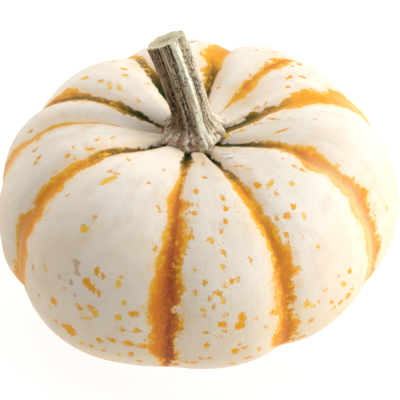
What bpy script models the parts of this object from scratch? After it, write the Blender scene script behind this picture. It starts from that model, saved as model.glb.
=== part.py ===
"""Mini pumpkin: one ribbed fruit and the dry cut stem that stands in its crown.

Metres, +Z up, true size. The front of the fruit faces -Y. An azimuth is measured in degrees
from the front towards +X, and a polar angle in radians from the stem end to the blossom end.
"""

import functools
import math
from typing import NamedTuple

import bmesh
import bpy
from mathutils import Vector

# Body of the fruit, measured from its heart, the point on the stem's axis at equator height
EQUATOR_RADIUS = 0.052
CROWN_HEIGHT = 0.0354
BASE_DEPTH = 0.0242
CROWN_POWER = 2.4
BASE_POWER = 2.2

# Hollow round the stem, and the smaller one round the blossom scar
CROWN_HOLLOW_DEPTH = 0.0118
CROWN_HOLLOW_RADIUS = 0.0229
BLOSSOM_HOLLOW_DEPTH = 0.0052
BLOSSOM_HOLLOW_RADIUS = 0.0177
SCAR_HEIGHT = 0.0012
SCAR_RADIUS = 0.0034
HOLLOW_EASE = 0.012

# The fruit grew a little fuller on its right, and a little long across one diagonal
SIDE_SWELL = 0.0015
DIAGONAL_SWELL = 0.0017

# Depth that the lowest ribs are pressed flat by where the fruit rests
REST_FLAT = 0.0006


class Groove(NamedTuple):
    """A groove between two ribs, and how full the rib on its right is."""

    azimuth: float
    slant: float
    depth: float
    fullness: float


# Azimuth and slant in degrees (slant for each radian down the side), depth and fullness in metres
GROOVES = [
    Groove(azimuth=-152, slant=0.5, depth=0.0024, fullness=0.0003),
    Groove(azimuth=-110, slant=0.0, depth=0.0016, fullness=0.0004),
    Groove(azimuth=-87, slant=0.0, depth=0.0009, fullness=-0.0005),
    Groove(azimuth=-60, slant=0.5, depth=0.0025, fullness=0.0004),
    Groove(azimuth=-7, slant=0.5, depth=0.0018, fullness=-0.0006),
    Groove(azimuth=26, slant=1.5, depth=0.0025, fullness=-0.0006),
    Groove(azimuth=61, slant=-1.0, depth=0.0015, fullness=0.0006),
    Groove(azimuth=106, slant=0.0, depth=0.0020, fullness=-0.0016),
    Groove(azimuth=136, slant=0.0, depth=0.0007, fullness=-0.0002),
    Groove(azimuth=164, slant=0.0, depth=0.0038, fullness=0.0002),
]

# A groove is a narrow fold at the crown and a wider valley at the side
FOLD_POWER_CROWN = 3.5
FOLD_POWER_SIDE = 1.9
FOLD_CROWN_REACH = 0.7
FOLD_ROUNDING = 0.06
GROOVE_FADE_CROWN = 0.16
GROOVE_FADE_BLOSSOM = 0.30
GROOVE_SLANT_CENTRE = 1.3

# Dry stem: a knobbed foot that follows the crown, a ridged shaft that bends as it rises, a flat cut
STEM_HEIGHT = 0.0255
STEM_LEAN_LEFT = 0.0064
STEM_LEAN_BACK = 0.0042
STEM_LEAN_POWER = 1.6
STEM_SHIFT_RIGHT = 0.0003
FOOT_RADIUS = 0.0086
FOOT_THICKNESS = 0.0009
FOOT_FLARE = 0.12
FOOT_FLARE_POWER = 1.6
FOOT_KNOB = 0.10
SHAFT_RADIUS_LOW = 0.0045
SHAFT_RADIUS_HIGH = 0.0046
CUT_BEVEL = 0.00025
SEAT_GAP = 0.0003


class Ridge(NamedTuple):
    """A lengthwise ridge of the stem: where it is, and its height as a share of the radius."""

    azimuth: float
    height: float
    width: float


RIDGES = [
    Ridge(azimuth=-150, height=0.12, width=18),
    Ridge(azimuth=-108, height=0.12, width=16),
    Ridge(azimuth=-60, height=0.20, width=20),
    Ridge(azimuth=-14, height=0.12, width=13),
    Ridge(azimuth=27, height=0.24, width=15),
    Ridge(azimuth=72, height=0.12, width=15),
    Ridge(azimuth=112, height=0.20, width=17),
    Ridge(azimuth=158, height=0.16, width=18),
]
HIGHEST_RIDGE = max(ridge.height for ridge in RIDGES)

# Fineness of the two solids
FRUIT_COLUMNS = 96
FRUIT_RINGS = 40
COLUMN_CROWDING = 0.05
STEM_COLUMNS = 48
UNDERSIDE_RINGS = 4
FLANK_RINGS = 5
SHAFT_RINGS = 9
CUT_RINGS = 3
FLANK_SHARE = 0.30
HALVINGS = 20

RIND_COLOUR = (0.86, 0.79, 0.68, 1.0)
STEM_COLOUR = (0.42, 0.37, 0.27, 1.0)


def clear_scene():
    """Remove every object, so that the model is all that the scene holds."""
    for old in list(bpy.data.objects):
        bpy.data.objects.remove(old, do_unlink=True)


def make_material(name, colour, roughness):
    """A plain Principled surface."""
    material = bpy.data.materials.new(name)
    material.use_nodes = True
    surface = material.node_tree.nodes["Principled BSDF"]
    surface.inputs["Base Color"].default_value = colour
    surface.inputs["Roughness"].default_value = roughness
    surface.inputs["Metallic"].default_value = 0.0
    return material


def groove_azimuth(groove, polar):
    """Azimuth of a groove's floor at a polar angle."""
    return groove.azimuth + groove.slant * (polar - GROOVE_SLANT_CENTRE)


def rib_at(azimuth, polar):
    """The grooves on the left and right of an azimuth, and the share of the way between them."""
    floors = [groove_azimuth(groove, polar) for groove in GROOVES]
    behind = [(azimuth - floor) % 360 for floor in floors]
    left = behind.index(min(behind))
    right = (left + 1) % len(GROOVES)
    width = (floors[right] - floors[left]) % 360
    return GROOVES[left], GROOVES[right], behind[left] / width


def groove_cut(azimuth, polar):
    """Depth that the skin is drawn in by, in metres, below zero where a rib is fuller."""
    left, right, share = rib_at(azimuth, polar)
    from_fold = 1 - abs(2 * share - 1)
    rounded = math.hypot(from_fold, FOLD_ROUNDING) - FOLD_ROUNDING
    rounded /= math.hypot(1, FOLD_ROUNDING) - FOLD_ROUNDING
    narrowing = math.exp(-((polar / FOLD_CROWN_REACH) ** 2))
    power = FOLD_POWER_SIDE + (FOLD_POWER_CROWN - FOLD_POWER_SIDE) * narrowing
    depth = left.depth * (1 - share) + right.depth * share
    bulge = left.fullness * math.sin(math.pi * share) ** 2
    return depth * max(1 - rounded, 0) ** power - bulge


def groove_fade(polar):
    """Share of the relief that is left, which runs out at both ends of the fruit."""
    crown = 1 - math.exp(-((polar / GROOVE_FADE_CROWN) ** 2))
    blossom = 1 - math.exp(-(((math.pi - polar) / GROOVE_FADE_BLOSSOM) ** 2))
    return crown * blossom


def body_reach(polar):
    """Distance from the heart to the smooth body, a superellipse with unlike halves."""
    upper = polar < math.pi / 2
    power = CROWN_POWER if upper else BASE_POWER
    height = CROWN_HEIGHT if upper else BASE_DEPTH
    across = (abs(math.sin(polar)) / EQUATOR_RADIUS) ** power
    along = (abs(math.cos(polar)) / height) ** power
    return (across + along) ** (-1 / power)


def rind_point(azimuth, polar):
    """Point of the fruit's skin, from its heart."""
    relief = groove_cut(azimuth, polar) * groove_fade(polar) / EQUATOR_RADIUS
    reach = body_reach(polar) * (1 - relief)
    radius = reach * math.sin(polar)
    height = reach * math.cos(polar)
    if polar < math.pi / 2:
        hollow = -CROWN_HOLLOW_DEPTH * math.exp(-((radius / CROWN_HOLLOW_RADIUS) ** 2))
    else:
        hollow = BLOSSOM_HOLLOW_DEPTH * math.exp(-((radius / BLOSSOM_HOLLOW_RADIUS) ** 2))
        hollow -= SCAR_HEIGHT * math.exp(-((radius / SCAR_RADIUS) ** 2))
    height += hollow * min(abs(height) / HOLLOW_EASE, 1)
    turn = math.radians(azimuth)
    swell = SIDE_SWELL * math.sin(turn) - DIAGONAL_SWELL * math.sin(2 * turn)
    radius *= 1 + swell / EQUATOR_RADIUS * math.sin(polar)
    return Vector((radius * math.sin(turn), -radius * math.cos(turn), height))


def column_azimuth(column, polar):
    """Azimuth of a column of the fruit's mesh, so that every groove has a column on its floor."""
    marks = [round(groove.azimuth % 360 / 360 * FRUIT_COLUMNS) for groove in GROOVES]
    behind = [(column - mark) % FRUIT_COLUMNS for mark in marks]
    left = behind.index(min(behind))
    right = (left + 1) % len(GROOVES)
    share = behind[left] / ((marks[right] - marks[left]) % FRUIT_COLUMNS)
    share -= COLUMN_CROWDING * math.sin(2 * math.pi * share)
    start = groove_azimuth(GROOVES[left], polar)
    end = groove_azimuth(GROOVES[right], polar)
    return start + ((end - start) % 360) * share


def sphere_grid(columns, rings):
    """A closed unit sphere with the place of each vertex as its column and its ring from the top."""
    shape = bmesh.new()
    bmesh.ops.create_uvsphere(shape, u_segments=columns, v_segments=rings, radius=1)
    places = {}
    for vertex in shape.verts:
        azimuth = math.degrees(math.atan2(vertex.co.x, -vertex.co.y)) % 360
        polar = math.acos(max(-1, min(1, vertex.co.z)))
        ring = round(polar / math.pi * rings)
        places[vertex] = (round(azimuth / 360 * columns) % columns, ring)
    return shape, places


def finish_mesh(shape, name, material):
    """Turn a shaped grid into a smooth-shaded object with its material."""
    bmesh.ops.recalc_face_normals(shape, faces=shape.faces)
    mesh = bpy.data.meshes.new(name)
    shape.to_mesh(mesh)
    shape.free()
    mesh.shade_smooth()
    mesh.materials.append(material)
    return bpy.data.objects.new(name, mesh)


def build_fruit(material):
    """The whole fruit, with its lowest ribs pressed flat where it rests."""
    shape, places = sphere_grid(FRUIT_COLUMNS, FRUIT_RINGS)
    for vertex, (column, ring) in places.items():
        polar = math.pi * ring / FRUIT_RINGS
        vertex.co = rind_point(column_azimuth(column, polar), polar)
    floor = min(vertex.co.z for vertex in places) + REST_FLAT
    for vertex in places:
        vertex.co.z = max(vertex.co.z, floor)
    across = [sorted(vertex.co[axis] for vertex in places) for axis in (0, 1)]
    middle = [(line[0] + line[-1]) / 2 for line in across]
    fruit = finish_mesh(shape, "fruit", material)
    fruit.location = (-middle[0], -middle[1], -floor)
    return fruit


def around(azimuth, other):
    """Angle from one azimuth to another, between -180 and 180 degrees."""
    return (other - azimuth + 180) % 360 - 180


def ridge_relief(azimuth):
    """Height of the stem's ridges above its furrows, as a share of the radius."""
    return sum(
        ridge.height * math.exp(-((around(azimuth, ridge.azimuth) / ridge.width) ** 2)) for ridge in RIDGES
    )


def foot_radius(azimuth):
    """Outline of the foot: each ridge runs out into a knob."""
    return FOOT_RADIUS * (1 - FOOT_KNOB + FOOT_KNOB * ridge_relief(azimuth) / HIGHEST_RIDGE)


def crown_under_stem(azimuth, radius):
    """Point of the crown at a distance from the stem's axis, raised by the seat gap."""
    nearest = 0.0
    furthest = math.pi / 4
    for _ in range(HALVINGS):
        polar = (nearest + furthest) / 2
        point = rind_point(azimuth, polar)
        if math.hypot(point.x, point.y) < radius:
            nearest = polar
        else:
            furthest = polar
    return point + Vector((0, 0, SEAT_GAP))


@functools.cache
def foot_rise(azimuth):
    """Height of the foot's edge above the middle of the seat."""
    return crown_under_stem(azimuth, foot_radius(azimuth)).z - seat_height()


@functools.cache
def seat_height():
    """Height of the middle of the seat above the heart."""
    return rind_point(0, 0).z + SEAT_GAP


def shaft_frame(share):
    """Middle of the stem at a share of its height, with its own up, right and front directions."""
    bend = share**STEM_LEAN_POWER
    slope = STEM_LEAN_POWER * share ** (STEM_LEAN_POWER - 1)
    left = STEM_LEAN_LEFT * bend - STEM_SHIFT_RIGHT
    centre = Vector((-left, STEM_LEAN_BACK * bend, seat_height() + STEM_HEIGHT * share))
    up = Vector((-STEM_LEAN_LEFT * slope, STEM_LEAN_BACK * slope, STEM_HEIGHT)).normalized()
    right = Vector((1, 0, 0))
    right = (right - up * up.dot(right)).normalized()
    return centre, up, right, right.cross(up)


def shaft_point(azimuth, share, inset=0.0, lift=0.0):
    """Point of the stem's side, on a ring that is square to the bent shaft."""
    centre, up, right, front = shaft_frame(share)
    shaft = SHAFT_RADIUS_LOW + (SHAFT_RADIUS_HIGH - SHAFT_RADIUS_LOW) * share
    shaft *= 1 - HIGHEST_RIDGE / 2 + ridge_relief(azimuth)
    flare = math.exp(-((share / FOOT_FLARE) ** FOOT_FLARE_POWER))
    radius = shaft + (foot_radius(azimuth) - shaft) * flare - inset
    turn = math.radians(azimuth)
    point = centre + up * lift + (right * math.sin(turn) + front * math.cos(turn)) * radius
    point.z += (foot_rise(azimuth) + FOOT_THICKNESS) * flare
    return point


def stem_point(ring, azimuth):
    """Point of the stem's surface, ring by ring from the middle of its cut to the middle of its seat."""
    if ring <= CUT_RINGS:
        centre, up, _, _ = shaft_frame(1.0)
        middle = centre + up * CUT_BEVEL
        rim = shaft_point(azimuth, 1.0, inset=CUT_BEVEL, lift=CUT_BEVEL)
        return middle + (rim - middle) * (ring / CUT_RINGS)
    ring -= CUT_RINGS + 1
    if ring < SHAFT_RINGS:
        return shaft_point(azimuth, 1 - (1 - FLANK_SHARE) * ring / SHAFT_RINGS)
    ring -= SHAFT_RINGS
    if ring < FLANK_RINGS:
        return shaft_point(azimuth, FLANK_SHARE * (1 - ring / (FLANK_RINGS - 1)))
    ring -= FLANK_RINGS
    return crown_under_stem(azimuth, foot_radius(azimuth) * (1 - ring / UNDERSIDE_RINGS))


def build_stem(material):
    """The stem as one closed solid, standing on the crown with a small gap."""
    rings = CUT_RINGS + 1 + SHAFT_RINGS + FLANK_RINGS + UNDERSIDE_RINGS
    shape, places = sphere_grid(STEM_COLUMNS, rings)
    for vertex, (column, ring) in places.items():
        vertex.co = stem_point(ring, 360 * column / STEM_COLUMNS)
    return finish_mesh(shape, "stem", material)


def main():
    """Build the fruit and its stem on one empty that stands for the whole pumpkin."""
    clear_scene()
    parts = bpy.data.collections.new("mini_pumpkin")
    bpy.context.scene.collection.children.link(parts)
    whole = bpy.data.objects.new("pumpkin_frame", None)
    parts.objects.link(whole)
    fruit = build_fruit(make_material("rind", RIND_COLOUR, 0.42))
    stem = build_stem(make_material("dry_stem", STEM_COLOUR, 0.85))
    stem.location = fruit.location
    for piece in (fruit, stem):
        parts.objects.link(piece)
        piece.parent = whole


main()
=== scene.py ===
"""Looks of the mini pumpkin: its ribbed and striped rind, and its dry ridged stem.

Metres, +Z up. The front of the fruit faces -Y. An azimuth is measured in degrees from the front
towards +X, and a polar angle in radians from the stem end to the blossom end. The widths of the
markings are in millimetres, because they are painted on the skin and not built.
"""

import logging
import math
from dataclasses import dataclass
from enum import Enum
from typing import NamedTuple, TypeAlias

import bpy
import numpy as np
from mathutils import Euler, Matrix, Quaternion, Vector
from mathutils.bvhtree import BVHTree


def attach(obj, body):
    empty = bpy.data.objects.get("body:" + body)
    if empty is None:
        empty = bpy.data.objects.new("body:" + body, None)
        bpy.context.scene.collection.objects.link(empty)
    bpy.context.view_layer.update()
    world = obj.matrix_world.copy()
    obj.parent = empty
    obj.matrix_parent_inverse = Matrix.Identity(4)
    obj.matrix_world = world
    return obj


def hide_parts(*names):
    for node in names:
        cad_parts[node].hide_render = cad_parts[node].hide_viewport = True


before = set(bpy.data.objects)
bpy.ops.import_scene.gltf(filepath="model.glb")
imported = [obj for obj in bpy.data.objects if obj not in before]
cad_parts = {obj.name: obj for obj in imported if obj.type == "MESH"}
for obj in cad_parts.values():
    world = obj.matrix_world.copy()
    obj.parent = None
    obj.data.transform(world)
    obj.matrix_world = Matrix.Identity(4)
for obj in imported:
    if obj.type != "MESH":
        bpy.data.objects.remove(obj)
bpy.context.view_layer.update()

MM = 0.001
PHOTO_SIDE = 400
Number: TypeAlias = "Value | float"
Colour: TypeAlias = tuple[float, float, float, float]
log = logging.getLogger("mini_pumpkin")


def paint(red: int, green: int, blue: int) -> Colour:
    """Mix a paint from its red, green and blue as a screen shows them.

    Args:
        red: Red, from 0 to 255.
        green: Green, from 0 to 255.
        blue: Blue, from 0 to 255.

    Returns:
        The colour as light, with full cover.
    """
    light = [((part / 255 + 0.055) / 1.055) ** 2.4 for part in (red, green, blue)]
    return (light[0], light[1], light[2], 1.0)


def soft_step(value: np.ndarray, low: float, high: float) -> np.ndarray:
    """Rise smoothly from 0 to 1 between two values.

    Args:
        value: The values to map.
        low: Where the rise starts.
        high: Where the rise ends.

    Returns:
        The share of the rise at each value.
    """
    share = np.clip((value - low) / (high - low), 0, 1)
    return share * share * (3 - 2 * share)


def bell(value: np.ndarray, width: float) -> np.ndarray:
    """Bell curve that is one at zero and falls off over a width on either side."""
    return np.exp(-((value / width) ** 2))


class Cloud(NamedTuple):
    """A cloudy pattern: the width of a cloud in mm, its number of finer layers, and its seed."""

    size: float
    detail: float = 2.0
    seed: float = 0.0


class Value:
    """An output of a node, which takes part in sums like a number."""

    def __init__(self, bench: "Bench", socket: bpy.types.NodeSocket) -> None:
        """Hold an output.

        Args:
            bench: The bench that the node stands on.
            socket: The output itself.
        """
        self.bench = bench
        self.socket = socket

    def __add__(self, other: Number) -> "Value":
        """This plus other."""
        return self.bench.maths("ADD", self, other)

    def __radd__(self, other: Number) -> "Value":
        """Other plus this."""
        return self.bench.maths("ADD", other, self)

    def __sub__(self, other: Number) -> "Value":
        """This less other."""
        return self.bench.maths("SUBTRACT", self, other)

    def __rsub__(self, other: Number) -> "Value":
        """Other less this."""
        return self.bench.maths("SUBTRACT", other, self)

    def __mul__(self, other: Number) -> "Value":
        """This times other."""
        return self.bench.maths("MULTIPLY", self, other)

    def __rmul__(self, other: Number) -> "Value":
        """Other times this."""
        return self.bench.maths("MULTIPLY", other, self)

    def __truediv__(self, other: Number) -> "Value":
        """This over other."""
        return self.bench.maths("DIVIDE", self, other)

    def __rtruediv__(self, other: Number) -> "Value":
        """Other over this."""
        return self.bench.maths("DIVIDE", other, self)

    def __pow__(self, other: Number) -> "Value":
        """This to the power of other."""
        return self.bench.maths("POWER", self, other)

    def __neg__(self) -> "Value":
        """Zero less this."""
        return self.bench.maths("SUBTRACT", 0.0, self)

    def __abs__(self) -> "Value":
        """The size of this, without its sign."""
        return self.bench.maths("ABSOLUTE", self)

    def bell(self, width: Number) -> "Value":
        """Bell curve of this, which is one at zero and falls off over a width."""
        return self.bench.maths("EXPONENT", -((self / width) ** 2.0))

    def sin(self) -> "Value":
        """The sine of this, in radians."""
        return self.bench.maths("SINE", self)

    def cos(self) -> "Value":
        """The cosine of this, in radians."""
        return self.bench.maths("COSINE", self)

    def root(self) -> "Value":
        """The square root of this."""
        return self.bench.maths("SQRT", self)

    def least(self, other: Number) -> "Value":
        """The smaller of this and other."""
        return self.bench.maths("MINIMUM", self, other)

    def most(self, other: Number) -> "Value":
        """The larger of this and other."""
        return self.bench.maths("MAXIMUM", self, other)

    def below(self, other: Number) -> "Value":
        """One where this is less than other, and zero elsewhere."""
        return self.bench.maths("LESS_THAN", self, other)

    def ramp(self, kind: str, low: Number, high: Number) -> "Value":
        """Go from 0 to 1 between two values.

        Args:
            kind: How the node goes from one to the other.
            low: Where the rise starts.
            high: Where the rise ends.

        Returns:
            The share of the rise.
        """
        inputs = {"Value": self, "From Min": low, "From Max": high}
        return self.bench.node("ShaderNodeMapRange", {"interpolation_type": kind}, inputs, "Result")

    def rise(self, low: Number, high: Number) -> "Value":
        """Go evenly from 0 to 1 between two values."""
        return self.ramp("LINEAR", low, high)

    def soft(self, low: Number, high: Number) -> "Value":
        """Go smoothly from 0 to 1 between two values."""
        return self.ramp("SMOOTHSTEP", low, high)


class Bench:
    """A node tree, and the few ways in which nodes are added to it."""

    def __init__(self, tree: bpy.types.NodeTree) -> None:
        """Work on a tree.

        Args:
            tree: The tree that takes the nodes.
        """
        self.tree = tree

    def node(
        self,
        kind: str,
        settings: dict[str, object] | None = None,
        inputs: dict[str, object] | None = None,
        output: str | int = 0,
    ) -> Value:
        """Add a node.

        Args:
            kind: The node's type.
            settings: Its settings, which are set before its sockets are read.
            inputs: A number, colour, vector or other output for each socket by name.
            output: The name or place of the output that is wanted.

        Returns:
            The wanted output.
        """
        made = self.tree.nodes.new(kind)
        for name, setting in (settings or {}).items():
            setattr(made, name, setting)
        for name, value in (inputs or {}).items():
            socket = next(entry for entry in made.inputs if entry.enabled and entry.name == name)
            if isinstance(value, Value):
                self.tree.links.new(value.socket, socket)
            else:
                socket.default_value = value
        if isinstance(output, int):
            return Value(self, made.outputs[output])
        return Value(self, next(exit_ for exit_ in made.outputs if exit_.enabled and exit_.name == output))

    def maths(self, operation: str, *terms: Number) -> Value:
        """Add a Math node.

        Args:
            operation: The sum that the node does.
            terms: Its one or two terms.

        Returns:
            The result.
        """
        made = self.tree.nodes.new("ShaderNodeMath")
        made.operation = operation
        for socket, term in zip(made.inputs, terms):
            if isinstance(term, Value):
                self.tree.links.new(term.socket, socket)
            else:
                socket.default_value = term
        return Value(self, made.outputs[0])

    def parts(self, vector: Value) -> tuple[Value, Value, Value]:
        """Take a vector apart.

        Args:
            vector: The vector.

        Returns:
            Its three parts.
        """
        split = self.node("ShaderNodeSeparateXYZ", inputs={"Vector": vector})
        outputs = split.socket.node.outputs
        return (Value(self, outputs[0]), Value(self, outputs[1]), Value(self, outputs[2]))

    def vector(self, x: Number, y: Number, z: Number) -> Value:
        """Put a vector together.

        Args:
            x: Its first part.
            y: Its second part.
            z: Its third part.

        Returns:
            The vector.
        """
        return self.node("ShaderNodeCombineXYZ", inputs={"X": x, "Y": y, "Z": z})

    def blend(self, share: Number, first: object, second: object) -> Value:
        """Mix two colours.

        Args:
            share: Share of the second colour.
            first: The first colour.
            second: The second colour.

        Returns:
            The mixed colour.
        """
        inputs = {"Factor": share, "A": first, "B": second}
        return self.node("ShaderNodeMix", {"data_type": "RGBA"}, inputs, "Result")

    def mottle(self, place: Value, cloud: Cloud) -> Value:
        """Cloudy variation over a piece.

        Args:
            place: Where on the piece, in metres.
            cloud: The pattern.

        Returns:
            The variation, about one half in the middle.
        """
        inputs = {"Vector": place, "W": cloud.seed, "Scale": 1 / (cloud.size * MM), "Detail": cloud.detail}
        return self.node("ShaderNodeTexNoise", {"noise_dimensions": "4D"}, inputs)

    def field(self, name: str) -> Value:
        """A named number that the mesh carries."""
        return self.node("ShaderNodeAttribute", {"attribute_name": name}, output="Fac")

    def field_vector(self, name: str) -> Value:
        """A named vector that the mesh carries."""
        return self.node("ShaderNodeAttribute", {"attribute_name": name}, output="Vector")


class Grower(Bench):
    """A geometry tree with named sizes, which is run once to grow a plain mesh."""

    def __init__(self, name: str, sizes: dict[str, float | int]) -> None:
        """Start a tree.

        Args:
            name: Name of the tree.
            sizes: Its named sizes.
        """
        super().__init__(bpy.data.node_groups.new(name, "GeometryNodeTree"))
        face = self.tree.interface
        face.new_socket("Geometry", in_out="OUTPUT", socket_type="NodeSocketGeometry")
        self.given = {}
        for label, value in sizes.items():
            kind = "NodeSocketInt" if isinstance(value, int) else "NodeSocketFloat"
            made = face.new_socket(label, in_out="INPUT", socket_type=kind)
            self.given[made.identifier] = value
        self.entry = self.tree.nodes.new("NodeGroupInput")

    def size(self, label: str) -> Value:
        """One of the named sizes."""
        return Value(self, self.entry.outputs[label])

    def store(self, shape: Value, name: str, value: Value) -> Value:
        """Keep a number on each point of the shape.

        Args:
            shape: The shape so far.
            name: Name of the number.
            value: The number.

        Returns:
            The shape that carries it.
        """
        return self.node(
            "GeometryNodeStoreNamedAttribute",
            {"data_type": "FLOAT", "domain": "POINT"},
            {"Geometry": shape, "Name": name, "Value": value},
        )

    def move(self, shape: Value, place: Value) -> Value:
        """Put each point of the shape in a new place."""
        return self.node("GeometryNodeSetPosition", inputs={"Geometry": shape, "Position": place})

    def grow(self, name: str, shape: Value, finish: bpy.types.Material) -> bpy.types.Object:
        """Run the tree once and keep what it grows.

        Args:
            name: Name of the piece.
            shape: The shape that the tree ends with.
            finish: The material of the piece.

        Returns:
            The piece, as a plain mesh with no modifier.
        """
        whole = self.node("GeometryNodeRealizeInstances", inputs={"Geometry": shape})
        dressed = self.node("GeometryNodeSetMaterial", inputs={"Geometry": whole, "Material": finish})
        self.tree.links.new(dressed.socket, self.tree.nodes.new("NodeGroupOutput").inputs[0])
        piece = bpy.data.objects.new(name, bpy.data.meshes.new(name + "_seed"))
        bpy.context.scene.collection.objects.link(piece)
        modifier = piece.modifiers.new("grow", "NODES")
        modifier.node_group = self.tree
        for identifier, value in self.given.items():
            modifier[identifier] = value
        bpy.context.view_layer.update()
        graph = bpy.context.evaluated_depsgraph_get()
        mesh = bpy.data.meshes.new_from_object(piece.evaluated_get(graph), depsgraph=graph)
        piece.modifiers.clear()
        piece.data = mesh
        mesh.shade_smooth()
        return piece


class Pixel(NamedTuple):
    """A place in the photograph, in pixels from its left and top edges."""

    across: float
    down: float


class Spread(NamedTuple):
    """How far a stripe reaches left and right of its groove, in mm, at a polar angle."""

    polar: float
    left: float
    right: float


class SheenBand(NamedTuple):
    """A pale band of painted highlight along a stripe: its strength, middle and width in mm, and the polar
    angles of its ends.
    """

    strength: float = 0.0
    start: float = 1.0
    middle: float = 0.0
    width: float = 1.0
    end: float = 3.2


@dataclass(frozen=True)
class Groove:
    """A groove between two ribs, the fullness of the rib on its right, and its stripe.

    The azimuth is in degrees and the slant in degrees per radian of polar angle. The depth and the
    fullness are in metres. The stripe is green, then brown, up to two polar angles, and burnt is how
    far its core goes from orange to burnt orange, from 0 to 1. That core lies right of the floor, on the
    flank turned from the light, and is partly the stripe's own colour and partly painted shade. pale is
    a band of painted highlight along the stripe. Its left and right edges are pixels of the photograph,
    and hidden holds its widths where the photograph does not show them.
    """

    name: str
    azimuth: float
    slant: float
    depth: float
    fullness: float
    green_until: float
    brown_until: float
    burnt: float
    left: tuple[Pixel, ...]
    right: tuple[Pixel, ...]
    hidden: tuple[Spread, ...]
    pale: SheenBand = SheenBand()

    def floor(self, polar: np.ndarray, centre: float) -> np.ndarray:
        """Azimuth of the groove's floor.

        Args:
            polar: Polar angles, in radians.
            centre: Polar angle at which the groove has its own azimuth.

        Returns:
            The azimuth at each polar angle, in degrees.
        """
        return self.azimuth + self.slant * (polar - centre)


def pixels(*places: tuple[float, float]) -> tuple[Pixel, ...]:
    """Places in the photograph, each given as pixels across and down."""
    return tuple(Pixel(*place) for place in places)


def spreads(*stations: tuple[float, float, float]) -> tuple[Spread, ...]:
    """Stripe widths, each given as polar angle, left and right, with a tail to the blossom end."""
    tail = (Spread(2.2, 0.9, 0.9), Spread(2.7, 0.5, 0.5), Spread(2.9, -1.5, -1.5))
    return tuple(Spread(*station) for station in stations) + tail


class Hue(Enum):
    """Colour of a fleck, as its place between gold and brown."""

    GOLD = 0.0
    ORANGE = 0.45
    BROWN = 1.0


class Fleck(NamedTuple):
    """A fleck: its place in the photograph in pixels, its size in mm, its lean in degrees, its colour."""

    photo_x: float
    photo_y: float
    length: float
    width: float
    lean: float = 0.0
    hue: Hue = Hue.ORANGE
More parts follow.
